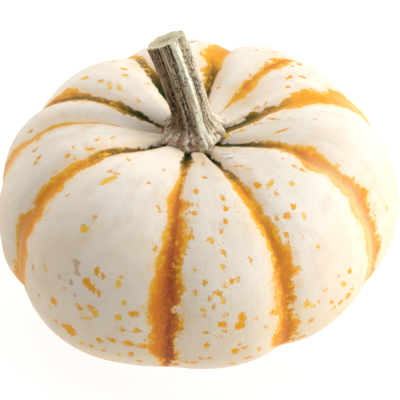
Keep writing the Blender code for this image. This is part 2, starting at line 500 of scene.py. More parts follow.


# Grooves by azimuth, from the back round by the left. The edges of the stripes are as read off the
# photograph, from the stem outwards, with the widest point of F drawn in. The hidden widths are
# chosen.
GROOVES = (
    Groove(
        "G", azimuth=-152, slant=0.5, depth=0.0024, fullness=0.0003,
        green_until=0.62, brown_until=0.9, burnt=0.2,
        left=pixels(
            (168.7, 102), (163.9, 85.5), (158.7, 75.4), (154.4, 70.6), (148.6, 64.9), (141, 55.8),
        ),
        right=pixels(
            (164.9, 99.8), (158.7, 91.7), (151.5, 81.6), (146.2, 72.5), (139.5, 65.8), (132.4, 59),
        ),
        hidden=spreads(
            (0.2, 0.2, 0.3), (1.15, 1.5, 1.6), (1.5, 2.2, 2.0), (1.8, 1.2, 1.2),
        ),
    ),
    Groove(
        "H", azimuth=-110, slant=0.0, depth=0.0016, fullness=0.0004,
        green_until=0.5, brown_until=1.12, burnt=0.35,
        left=pixels(
            (155.6, 122.2), (145.2, 114.5), (134, 109.3), (121, 100.7), (108.2, 99.8), (95.3, 95.5),
            (79.8, 91.2),
        ),
        right=pixels(
            (159, 127.8), (142.7, 120.5), (134, 117), (121, 111.9), (108.2, 106.7), (95.3, 102.8),
            (79.8, 101.1), (65, 102), (52.2, 105.8),
        ),
        hidden=spreads(
            (0.2, 0.4, 1.2), (0.88, 4.4, 3.0), (0.96, 5.0, 3.2), (1.04, 3.4, 2.4), (1.14, 0.9, 0.8),
            (1.3, 0.8, 0.7), (1.6, 1.6, 1.3),
        ),
    ),
    Groove(
        "I", azimuth=-87, slant=0.0, depth=0.0009, fullness=-0.0005,
        green_until=0.1, brown_until=0.3, burnt=0.3,
        pale=SheenBand(strength=0.6, start=0.95, middle=0.0, width=2.2),
        left=pixels(
            (121, 126), (105, 123), (89.5, 122), (73.7, 122.5), (63, 123.2), (52.6, 125.4),
            (42, 131), (31.6, 139), (18.5, 146), (12.8, 151), (8, 159),
        ),
        right=pixels(
            (121, 127.6), (105, 124.4), (89.5, 123.8), (73.7, 125), (63, 126.5), (52.6, 129.4),
            (42, 135), (31.6, 142.5), (23, 150), (18.8, 155), (13, 163.5),
        ),
        hidden=spreads(
            (0.3, -0.8, -0.3), (0.45, -0.3, 0.2), (1.5, 2.5, 1.5), (1.8, 1.0, 1.0),
        ),
    ),
    Groove(
        "J", azimuth=-60, slant=0.5, depth=0.0025, fullness=0.0004,
        green_until=0.44, brown_until=0.72, burnt=0.5,
        pale=SheenBand(strength=0.45, start=1.1, middle=-0.2, width=1.5),
        left=pixels(
            (145.3, 147), (131.6, 148), (121, 147.5), (110.5, 147.6), (97, 152), (86, 157),
            (75, 162), (64, 169), (51.7, 179), (39.2, 188.7), (35.4, 198.3), (33, 207.8),
            (19.1, 217.4), (16.3, 227), (16.3, 236.6), (15.8, 246.1), (15.8, 255.7), (14.4, 265.3),
            (15.3, 274.8), (22, 284.4),
        ),
        right=pixels(
            (145.3, 151), (131.6, 153), (121, 153.5), (110.5, 155.6), (103, 160), (93, 165),
            (83, 170), (73, 178), (68.9, 179), (62.2, 188.7), (53.6, 198.3), (46.9, 207.8),
            (41.1, 217.4), (34.4, 227), (29.7, 236.6), (28.7, 246.1), (26.3, 255.7), (25.4, 265.3),
            (25.4, 274.8), (25.8, 284.4),
        ),
        hidden=spreads(
            (0.2, 0.2, 1.5), (1.6, 3.0, 5.0), (1.8, 1.8, 3.0),
        ),
    ),
    Groove(
        "A", azimuth=-7, slant=0.5, depth=0.0018, fullness=-0.0006,
        green_until=0.36, brown_until=0.45, burnt=1.0,
        left=pixels(
            (180.5, 162), (180.2, 169), (178.4, 176), (176.7, 183), (172.1, 190), (168.2, 197),
            (168.2, 204), (167.2, 211), (166.1, 218), (165.1, 225), (164, 232), (161.6, 239),
            (159.5, 246), (158.1, 253), (156.7, 260), (155.7, 267), (152.1, 281), (148.9, 295.7),
            (147.5, 310), (144.6, 317), (148.6, 331), (148.6, 352.9), (158.6, 360), (157.9, 365.7),
        ),
        right=pixels(
            (193.5, 162), (189, 169), (187.2, 176), (184.4, 183), (182.6, 190), (182.6, 197),
            (190.4, 204), (189, 211), (187.5, 218), (185.8, 225), (188.2, 232), (189.3, 239),
            (187.2, 246), (183, 253), (180.2, 260), (180, 267), (181.8, 281), (182.9, 295.7),
            (179.3, 310), (180.4, 317), (180, 331), (176.8, 345.7), (179.3, 352.9), (177, 360),
            (175.7, 365.7),
        ),
        hidden=spreads(
            (0.2, 0.7, 0.9), (1.8, 1.1, 1.3),
        ),
    ),
    Groove(
        "B", azimuth=26, slant=1.5, depth=0.0025, fullness=-0.0006,
        green_until=0.46, brown_until=0.66, burnt=0.62,
        pale=SheenBand(strength=0.5, start=1.05, middle=-1.9, width=0.7, end=1.3),
        left=pixels(
            (219.4, 169.3), (224.5, 176.5), (230.8, 184), (234, 190.6), (240.7, 198.5), (244.3, 206),
            (250.2, 213.3), (253.1, 220.7), (257.2, 228), (261.9, 235.3), (265.6, 242.7), (270.1, 255.3),
            (271.6, 263), (272, 270.6), (272.8, 278.3), (272, 285.9), (274.7, 293.6), (276.2, 301.2),
            (275.4, 316.5), (278.5, 324.2), (276.2, 331.8), (272.4, 339.5), (270.9, 347),
        ),
        right=pixels(
            (227.1, 169.3), (237, 176.5), (242.9, 184), (252.4, 190.6), (253.1, 198.5), (259, 206),
            (261.9, 213.3), (270.7, 220.7), (275.9, 228), (281, 235.3), (283.9, 242.7), (292.3, 255.3),
            (294.6, 263), (298, 270.6), (293, 278.3), (299.2, 285.9), (291.5, 293.6), (295, 301.2),
            (293.4, 316.5), (298.4, 324.2), (296.9, 331.8), (293.8, 339.5), (278.5, 347),
        ),
        hidden=spreads(
            (0.2, 0.8, 0.3), (1.75, 2.2, 1.0),
        ),
    ),
    Groove(
        "C", azimuth=61, slant=-1.0, depth=0.0015, fullness=0.0006,
        green_until=0.46, brown_until=0.58, burnt=0.8,
        pale=SheenBand(strength=0.95, start=0.72, middle=-0.5, width=2.5),
        left=pixels(
            (222.3, 147.3), (237, 147.3), (251.7, 147.7), (266.3, 148.8), (281, 150.3), (292, 154.7),
            (299.3, 159.8), (306.7, 168.6), (310.8, 170), (326.2, 175.4), (333.8, 183.8), (341.5, 191.5),
            (347.7, 197.7), (352.3, 213), (360.9, 225.6), (365.4, 238.3), (367.3, 251), (367.9, 264),
            (365.4, 276.7),
        ),
        right=pixels(
            (222.3, 143.7), (237, 142.2), (251.7, 141.5), (266.3, 140.7), (281, 140.7), (292, 144.4),
            (299.3, 143), (310, 146), (318.5, 150.8), (326.2, 160), (336, 166), (349.2, 176.2),
            (366.2, 190), (370, 208.5), (375, 225.6), (377.5, 238.3), (379.4, 251), (376.9, 264),
            (371, 276.7),
        ),
        hidden=spreads(
            (0.2, 2.0, 0.4), (1.8, 1.5, 1.0),
        ),
    ),
    Groove(
        "D", azimuth=106, slant=0.0, depth=0.0020, fullness=-0.0016,
        green_until=0.46, brown_until=0.62, burnt=0.2,
        pale=SheenBand(strength=0.75, start=0.86, middle=0.6, width=2.6),
        left=pixels(
            (228.6, 132.7), (238.4, 130), (251.8, 123.8), (262.5, 118.4), (274, 113), (283, 109.5),
            (292, 108.6), (300.9, 107.7), (312.5, 104), (321.4, 103.7), (330.4, 104.6), (341, 106.8),
            (351.8, 110.8), (360.7, 115.7),
        ),
        right=pixels(
            (228.6, 126.4), (238.4, 122), (251.8, 115.7), (262.5, 111.3), (274, 105.9), (283, 99.6),
            (292, 94.3), (300.9, 89.8), (312.5, 88.9), (321.4, 93.4), (330.4, 88.9), (341, 93.4),
            (351.8, 103.2), (360.7, 111.3),
        ),
        hidden=spreads(
            (0.2, 2.8, -0.2), (1.5, 2.0, 2.4), (1.8, 1.2, 1.2),
        ),
    ),
    Groove(
        "E", azimuth=136, slant=0.0, depth=0.0007, fullness=-0.0002,
        green_until=0.2, brown_until=0.3, burnt=0.8,
        left=pixels(
            (236.7, 101.5), (245.3, 97), (253.9, 90), (262.5, 78), (271, 71.2), (284, 66.9),
            (288.4, 64.3),
        ),
        right=pixels(
            (240, 86.7), (247, 79.8), (258.2, 72), (264.2, 63.4), (272.9, 59.1), (284, 58.3),
        ),
        hidden=spreads(
            (0.3, 0.3, -0.1), (1.02, -0.5, -0.5), (1.2, 0.8, 1.0), (1.5, 2.2, 2.0), (1.8, 1.0, 1.0),
        ),
    ),
    Groove(
        "F", azimuth=164, slant=0.0, depth=0.0038, fullness=0.0002,
        green_until=0.42, brown_until=0.7, burnt=0.25,
        left=pixels(
            (213.4, 83.2), (219.5, 71.2), (223, 62), (228, 54.8),
        ),
        right=pixels(
            (204, 79.8), (202.2, 71.2), (204.8, 60.8), (200, 54), (208.3, 44.5),
        ),
        hidden=spreads(
            (0.2, 0.4, 0.5), (1.1, 2.2, 3.0), (1.5, 3.2, 2.6), (1.8, 1.2, 1.2),
        ),
    ),
)

GOLD, BROWN = Hue.GOLD, Hue.BROWN

# Flecks of the photograph as read off it, rib by rib from left to right, then the smaller ones.
# Each is pixels across and down, length and width in mm, and where they differ, lean and colour.
FLECKS = tuple(
    Fleck(*spot)
    for spot in (
        (97, 140, 1.6, 0.7, 60), (113, 138, 1.4, 0.7, 60), (74, 147, 1.8, 0.7, 60), (90, 149, 2.0, 0.7, 70),
        (68, 155, 1.2, 0.8), (74, 160, 1.0, 0.8), (38, 139, 1.6, 1.0, 50), (35, 150, 1.2, 0.8),
        (39, 157, 1.0, 0.8), (36, 163, 1.4, 0.7), (55, 172, 1.0, 0.7), (30, 132, 1.6, 0.9),
        (101, 81, 1.6, 0.9, 0, GOLD), (109, 84, 1.4, 0.9, 0, GOLD), (110, 88, 1.4, 0.8, 0, GOLD),
        (119, 87, 2.6, 0.8, 0, GOLD), (138, 101, 1.2, 0.7, 0, GOLD), (125, 75, 1.4, 0.8, 0, GOLD),
        (148, 84, 1.2, 0.7, 0, GOLD), (196, 41, 1.6, 1.2, 0, GOLD), (108, 180, 4.2, 1.5, 5, GOLD),
        (112, 172, 3.2, 0.5, -10), (128, 159, 2.4, 0.5, 25), (84, 229, 1.9, 2.2, 0, GOLD),
        (95, 218, 1.2, 0.9), (68, 195, 1.4, 0.9), (33, 267, 1.3, 1.5), (45, 267, 2.2, 1.0, 35, GOLD),
        (76, 263, 1.4, 2.0, 0, BROWN), (77, 272, 1.4, 1.2, 0, BROWN), (60, 277, 1.2, 0.9, 0, BROWN),
        (71, 282, 1.1, 0.9, 0, BROWN), (75, 295, 0.9, 1.1, 0, BROWN), (97, 271, 1.6, 1.0),
        (102, 276, 1.2, 1.4), (86, 282, 1.8, 1.6, 20), (92, 288, 1.8, 2.4, 60), (99, 294, 1.8, 1.5, 0),
        (39, 295, 1.2, 1.0), (54, 301, 2.0, 2.1), (79, 307, 1.2, 2.0), (90, 308, 1.2, 1.4),
        (70, 330, 3.4, 3.2), (64, 326, 1.6, 1.6), (56, 321, 1.2, 1.2), (134, 314, 1.5, 2.2),
        (137, 330, 1.2, 2.0), (143, 346, 1.6, 3.6), (139, 361, 1.6, 2.6), (106, 336, 1.2, 1.1),
        (122, 330, 1.4, 1.0), (127, 343, 1.6, 2.8), (99, 340, 1.3, 1.3), (159, 209, 1.5, 0.7),
        (155, 248, 1.4, 0.7), (164, 170, 0.7, 0.6), (148, 183, 0.7, 0.6), (203, 164, 2.2, 0.7, -30),
        (204, 177, 1.5, 0.8, -20), (196, 191, 1.2, 1.6), (197, 205, 0.7, 0.6), (195, 213, 1.2, 1.5),
        (223, 198, 1.6, 0.8), (226, 209, 1.4, 0.9), (225, 221, 1.3, 0.8), (221, 231, 1.3, 0.9),
        (211, 241, 1.2, 2.4, 0, GOLD), (223, 252, 2.0, 0.9, 25), (195, 271, 1.2, 0.8), (205, 283, 1.4, 0.9),
        (195, 293, 1.2, 0.8), (217, 294, 1.2, 1.9), (209, 298, 1.2, 1.0), (213, 307, 1.2, 1.0),
        (204, 316, 1.4, 0.9), (223, 325, 1.9, 2.0), (226, 315, 1.4, 1.1), (206, 333, 1.1, 0.9),
        (207, 345, 1.3, 1.6), (210, 358, 1.2, 0.9), (201, 358, 1.2, 0.9), (237, 281, 1.4, 0.9),
        (231, 282, 1.2, 0.9), (242, 317, 3.0, 1.8), (240, 326, 2.0, 2.8), (245, 348, 1.3, 0.9),
        (235, 351, 2.2, 1.8), (259, 349, 1.4, 0.9), (250, 259, 1.6, 0.8), (267, 328, 2.2, 0.6, 30),
        (188, 362, 0.8, 4.4), (224, 154, 2.2, 0.6, 40, BROWN), (231, 158, 1.8, 0.6, 45, BROWN),
        (238, 166, 2.6, 0.6, 0), (248, 169, 1.6, 0.6, 0, GOLD), (257, 185, 1.6, 1.6),
        (270, 184, 2.8, 0.8, -40, GOLD), (277, 195, 1.4, 0.9), (293, 207, 1.3, 1.5), (288, 216, 1.5, 1.8),
        (305, 216, 1.8, 0.8, -25, GOLD), (277, 218, 1.3, 0.8), (286, 234, 1.8, 0.9), (288, 246, 1.6, 0.9),
        (301, 236, 1.3, 0.8), (281, 152, 0.7, 0.6), (282, 158, 0.7, 0.6), (293, 166, 0.9, 0.7),
        (307, 304, 2.2, 1.4, 0, GOLD), (313, 306, 1.4, 1.2, 0, GOLD), (319, 302, 1.2, 1.0),
        (311, 320, 1.3, 1.0), (325, 290, 1.2, 0.9), (301, 337, 1.0, 2.6), (350, 271, 1.7, 1.4),
        (340, 276, 1.3, 0.9), (344, 284, 2.6, 0.7, 40, GOLD), (348, 296, 1.8, 2.4), (341, 302, 1.4, 1.8),
        (337, 165, 1.2, 0.8, 0, GOLD), (119, 282, 3.0, 1.0, -15, GOLD), (50, 307, 1.4, 0.7, 0, GOLD),
        (65, 289, 1.2, 0.9, 0, GOLD), (95, 313, 1.9, 1.7, 0, GOLD), (86, 318, 0.9, 2.6, 0, GOLD),
        (82, 343, 1.2, 1.8, 0, GOLD), (91, 346, 1.2, 1.5), (113, 341, 1.4, 1.2),
        (118, 318, 2.0, 1.4, -20, GOLD), (123, 303, 1.4, 1.2, 0, GOLD), (93, 355, 0.8, 4.0),
        (110, 360, 0.8, 5.0), (223, 267, 1.2, 0.9, 0, GOLD), (225, 286, 1.0, 0.9, 0, GOLD),
        (223, 301, 1.3, 1.0, 0, GOLD), (203, 310, 1.0, 1.2, 0, GOLD), (227, 332, 0.7, 2.2),
        (219, 336, 0.8, 1.5, 0, GOLD), (239, 344, 1.3, 0.9), (232, 363, 1.0, 2.0), (247, 358, 1.0, 2.4),
        (257, 319, 1.0, 0.8, 0, GOLD), (273, 312, 1.6, 1.4), (292, 184, 1.2, 0.8, 0, GOLD),
        (276, 228, 1.6, 1.0, 0, GOLD), (318, 247, 1.2, 0.8, 0, GOLD), (332, 302, 1.0, 1.0),
        (333, 309, 0.8, 1.6, 0, GOLD), (339, 314, 1.8, 0.6, 40), (386, 207, 2.6, 0.6, 0, GOLD),
        (352, 290, 1.8, 0.8, 20, GOLD), (302, 170, 1.0, 0.7), (227, 136, 2.4, 0.5, 0, GOLD),
        (240, 131, 3.0, 0.5, 0, GOLD), (50, 350, 1.4, 0.9), (84, 354, 1.8, 0.8, 0, GOLD),
        (74, 346, 1.6, 1.2), (62, 337, 1.4, 1.0), (103, 350, 1.6, 1.0), (118, 355, 1.4, 1.0, 0, GOLD),
        (131, 354, 1.6, 1.0), (256, 124, 3.2, 0.5, 0), (272, 119, 3.0, 0.5, 0), (289, 118, 2.6, 0.5, 0),
        (314, 119, 1.8, 0.5, 0), (281, 131, 3.0, 0.6, 0), (288, 87, 1.6, 0.7, 0), (303, 77, 2.6, 0.7, 0),
        (250, 75, 1.6, 0.7), (219, 87, 1.2, 0.6), (256, 50, 0.9, 0.8), (293, 66, 1.2, 0.8),
        (256, 108, 1.2, 0.5), (265, 104, 1.0, 0.5),
    )
)


@dataclass(frozen=True)
class Viewpoint:
    """The camera of the photograph, with angles in degrees, placed from the heart of the fruit."""

    elevation: float = 43.09
    distance: float = 0.2892
    roll: float = -0.42
    lens: float = 98.1
    sensor: float = 36.0
    shift_x: float = 0.0184
    shift_y: float = 0.0096

    def turn(self) -> Quaternion:
        """How the camera is turned."""
        tip = Euler((math.radians(90 - self.elevation), 0, 0)).to_quaternion()
        return tip @ Quaternion((0, 0, 1), math.radians(self.roll))

    def place(self, heart: Vector) -> Vector:
        """Where the camera stands."""
        angle = math.radians(self.elevation)
        return heart + Vector((0, -math.cos(angle), math.sin(angle))) * self.distance

    def sight(self, photo_x: float, photo_y: float) -> Vector:
        """Direction in which the camera sees a pixel of the photograph.

        Args:
            photo_x: Pixels from the left edge.
            photo_y: Pixels from the top edge.

        Returns:
            The direction, in the frame of the object.
        """
        across = photo_x / PHOTO_SIDE - 0.5 + self.shift_x
        up = 0.5 - photo_y / PHOTO_SIDE + self.shift_y
        return self.turn() @ Vector((across * self.sensor, up * self.sensor, -self.lens)).normalized()

    def build(self, heart: Vector) -> bpy.types.Object:
        """Make the camera.

        Args:
            heart: Heart of the fruit.

        Returns:
            The scene's camera.
        """
        data = bpy.data.cameras.new("photo_camera")
        data.lens = self.lens
        data.sensor_width = self.sensor
        data.shift_x = self.shift_x
        data.shift_y = self.shift_y
        data.clip_start = 0.01
        camera = bpy.data.objects.new("photo_camera", data)
        camera.rotation_mode = "QUATERNION"
        camera.rotation_quaternion = self.turn()
        camera.location = self.place(heart)
        bpy.context.scene.collection.objects.link(camera)
        bpy.context.scene.camera = camera
        return camera


def new_material(name: str, inputs: dict[str, float]) -> tuple[bpy.types.Material, Bench]:
    """Start a material.

    Args:
        name: Name of the material.
        inputs: The sockets of its surface that are the same all over.

    Returns:
        The material and its bench.
    """
    material = bpy.data.materials.new(name)
    material.use_nodes = True
    surface = material.node_tree.nodes["Principled BSDF"]
    for label, value in inputs.items():
        surface.inputs[label].default_value = value
    return material, Bench(material.node_tree)


def wire(material: bpy.types.Material, colour: Value, roughness: Value, height: Value, relief: float) -> None:
    """Lead a colour, a roughness and a relief into a material's surface.

    Args:
        material: The material.
        colour: Its base colour.
        roughness: Its roughness.
        height: Height of its relief, from 0 to 1.
        relief: What the relief stands out by, in metres.
    """
    tree = material.node_tree
    surface = tree.nodes["Principled BSDF"]
    bump = Bench(tree).node("ShaderNodeBump", inputs={"Height": height, "Distance": relief}, output="Normal")
    tree.links.new(colour.socket, surface.inputs["Base Color"])
    tree.links.new(roughness.socket, surface.inputs["Roughness"])
    tree.links.new(bump.socket, surface.inputs["Normal"])


class Patterns(NamedTuple):
    """What the rind's colours share: places on it and along its fibres, and clouds."""

    place: Value
    run: Value
    smudge: Value
    grain: Value
    fine: Value
    fibre: Value
    strand: Value


@dataclass(frozen=True)
class RindFinish:
    """Cream skin with gold and orange stripes that run green towards the stem, with painted highlights in
    pale bands along the stripes, and painted shade in their burnt cores and on the lower ribs.
    """

    cream: Colour = paint(250, 241, 227)
    warm: Colour = paint(248, 229, 203)
    grey: Colour = paint(228, 211, 190)
    # Buff of the lower ribs: painted warm shade
    buff: Colour = paint(236, 214, 178)
    # Peach of the halo round the stripes, and of their pale bands of painted highlight
    peach_and_sheen: Colour = paint(254, 212, 144)
    gold: Colour = paint(255, 190, 18)
    orange: Colour = paint(250, 138, 2)
    # Burnt orange of the stripe cores: partly their own colour, partly painted shade
    burnt: Colour = paint(168, 54, 2)
    fleck_gold: Colour = paint(255, 203, 62)
    fleck_orange: Colour = paint(253, 174, 18)
    brown: Colour = paint(200, 130, 70)
    olive: Colour = paint(112, 84, 14)
    green: Colour = paint(38, 56, 14)
    scar: Colour = paint(170, 142, 104)
    broad: Cloud = Cloud(16, 3)
    drawn: Cloud = Cloud(5.0, 4, 17.0)
    smudge: Cloud = Cloud(4.5, 4, 3.0)
    dimple: Cloud = Cloud(3.6, 2, 31.0)
    knobs: Cloud = Cloud(2.7, 2, 13.0)
    fibre: Cloud = Cloud(1.3, 4, 5.0)
    grain: Cloud = Cloud(1.1, 4, 7.0)
    crumbs: Cloud = Cloud(0.75, 2, 27.0)
    brown_dust: Cloud = Cloud(0.7, 1, 21.0)
    gold_dust: Cloud = Cloud(0.6, 2, 19.0)
    fine: Cloud = Cloud(0.45, 2, 9.0)
    strand: Cloud = Cloud(0.42, 3, 41.0)
    ragged_by_knobs: float = 4.6
    ragged_by_grain: float = 3.2
    ragged_by_fine: float = 2.2
    relief: float = 0.00035

    def material(self) -> bpy.types.Material:
        """Build the material of the rind.

        Returns:
            The material.
        """
        material, bench = new_material(
            "striped_rind",
            {"Specular IOR Level": 0.1, "Coat Weight": 0.03, "Coat Roughness": 0.2, "IOR": 1.45},
        )
        at = self.patterns(bench)
        inside, stripe = self.stripe(bench, at)
        green = bench.field("green")
        skin = bench.blend(stripe * (0.94 + green * 0.06), self.skin(bench, at), self.ink(bench, at, inside))
        spot, strength, tint = self.flecks(bench, at)
        skin = bench.blend(spot * strength * (1 - stripe), skin, tint)
        scarred = (bench.field("polar") + (at.grain - 0.5) * 0.25).soft(2.9, 3.0)
        skin = bench.blend(scarred, skin, self.scar)

        roughness = 0.42 + (at.smudge - 0.5) * 0.2 + stripe * 0.05 + spot * 0.08 + green * stripe * 0.12
        dimple = bench.mottle(at.place, self.dimple)
        height = dimple * 0.5 + at.fine * 0.1 + at.fibre * 0.24 - spot * 0.12 - stripe * 0.1
        wire(material, skin, roughness, height, self.relief)
        return material

    def patterns(self, bench: Bench) -> Patterns:
        """Lay out the clouds that several colours share.

        Args:
            bench: The material's bench.

        Returns:
            The places and the clouds.
        """
        place, run = bench.node("ShaderNodeTexCoord", output="Object"), bench.field_vector("run")
        smudge, grain, fine = (bench.mottle(place, cloud) for cloud in (self.smudge, self.grain, self.fine))
        fibre, strand = bench.mottle(run, self.fibre), bench.mottle(run, self.strand)
        return Patterns(place, run, smudge, grain, fine, fibre, strand)

    def skin(self, bench: Bench, at: Patterns) -> Value:
        """Colour of the plain skin, paler and greyer by turns, with small dull specks.

        Args:
            bench: The material's bench.
            at: The shared clouds.

        Returns:
            The colour.
        """
        edge, uneven = bench.field("edge"), at.smudge - 0.5
        broad, drawn = bench.mottle(at.place, self.broad), bench.mottle(at.run, self.drawn)
        skin = bench.blend(broad.soft(0.45, 0.7) * 0.7, self.cream, self.warm)
        skin = bench.blend(drawn.soft(0.48, 0.72) * 0.28, skin, self.grey)
        skin = bench.blend(at.smudge.soft(0.5, 0.72) * 0.3, skin, self.grey)
        # Buff towards the blossom end: painted warm shade on the lower ribs
        low = (bench.field("polar") + uneven * 0.4).soft(0.95, 1.7)
        skin = bench.blend(low * 0.65, skin, self.buff)
        halo = (edge + uneven * 8).soft(-2.6, 0.6)
        skin = bench.blend(halo * 0.42, skin, self.peach_and_sheen)
        near = (edge + uneven * 14).soft(-6, 0)
        dust = bench.mottle(at.place, self.gold_dust).soft(0.63, 0.69) * near
        skin = bench.blend(dust * 0.9, skin, self.fleck_gold)
        specks = bench.mottle(at.place, self.brown_dust).soft(0.74, 0.8)
        return bench.blend(specks * 0.4, skin, self.brown)

    def stripe(self, bench: Bench, at: Patterns) -> tuple[Value, Value]:
        """Draw the ragged outline of the stripes.

        Args:
            bench: The material's bench.
            at: The shared clouds.

        Returns:
            How far inside a stripe, in millimetres, and how much the stripe covers.
        """
        knobs = bench.mottle(at.place, self.knobs)
        ragged = (at.grain - 0.5) * self.ragged_by_grain + (knobs - 0.5) * self.ragged_by_knobs
        ragged = ragged + (at.fine - 0.5) * self.ragged_by_fine
        inside = bench.field("edge") + ragged * bench.field("loose")
        return inside, inside.soft(-0.2, 0.3)

    def ink(self, bench: Bench, at: Patterns, inside: Value) -> Value:
        """Colour of a stripe, from gold at its ragged edge to burnt orange in the fold, partly painted shade,
        with bands of painted highlight.

        Args:
            bench: The material's bench.
            at: The shared clouds.
            inside: How far inside the stripe, in millimetres.

        Returns:
            The colour.
        """
        valley, heat = bench.field("valley"), bench.field("burnt")
        depth = inside + (at.fibre - 0.5) * 2.4 + (at.grain - 0.5) * 1.2
        ink = bench.blend(depth.soft(0.2, 2.0) * (0.3 + heat * 0.7), self.gold, self.orange)
        # Burnt core right of the fold, wider low down: partly the stripe's darker orange, partly painted
        # shade on the flank turned from the light
        low = bench.field("polar").soft(0.75, 1.25)
        core = (valley - 0.4).bell(0.8 + low * 1.4) * (0.6 + low * 0.4)
        core = core * (at.fibre * 1.2 + at.grain * 0.8 - 0.32).soft(0.0, 0.8) * heat**1.5
        ink = bench.blend(core * depth.soft(0.2, 1.2), ink, self.burnt)
        ink = bench.blend(at.fine.soft(0.58, 0.68) * 0.45, ink, self.gold)
        ink = bench.blend(at.strand.soft(0.54, 0.66) * 0.4, ink, self.orange)
        ink = bench.blend((1 - at.strand).soft(0.56, 0.68) * 0.3 * (1 - heat * 0.6), ink, self.gold)
        # Pale peach bands: painted highlight along the stripe
        pale = bench.field("pale") * depth.soft(-0.5, 0.8) * (1 - at.strand.soft(0.56, 0.7) * 0.55)
        ink = bench.blend(pale, ink, self.peach_and_sheen)
        middle = valley.bell(1.7)
        brown = bench.field("brown") * middle * (at.fibre + at.grain).soft(0.75, 1.05)
        ink = bench.blend(brown * (1 - at.fine.soft(0.56, 0.64) * 0.6), ink, self.olive)
        green = bench.field("green") * (depth + 0.6).soft(-0.2, 0.6) * (0.6 + middle * 0.4)
        return bench.blend(green, ink, self.green)

    def flecks(self, bench: Bench, at: Patterns) -> tuple[Value, Value, Value]:
        """Draw the flecks, and the crumbs round them.

        Args:
            bench: The material's bench.
            at: The shared clouds.

        Returns:
            Where they lie, how much they cover there, and their colour.
        """
        inside, hue = bench.field("fleck"), bench.field("fleck_hue")
        shape = inside + (at.grain - 0.5) * 1.7 + (at.fine - 0.5) * 1.1
        crumbs = bench.mottle(at.place, self.crumbs).soft(0.62, 0.7) * inside.soft(-2.0, -0.3)
        spot = shape.soft(-0.14, 0.2).most(crumbs * 0.7)
        heat = (hue * 2.0 + shape * 1.2 - 0.5).soft(0.1, 0.8)
        bright = bench.blend(heat, self.fleck_gold, self.fleck_orange)
        murky = bench.blend(bench.field("polar").soft(0.5, 0.7), self.olive, self.brown)
        dull = hue.soft(0.6, 1.0)
        return spot, (0.62 + at.fibre * 0.7) * (1 - dull * 0.45), bench.blend(dull, bright, murky)


class Wood(NamedTuple):
    """What the stem's colours share: its ridges, the side painted in shade, and clouds."""

    ridge: Value
    side: Value
    streak: Value
    thread: Value
    grain: Value


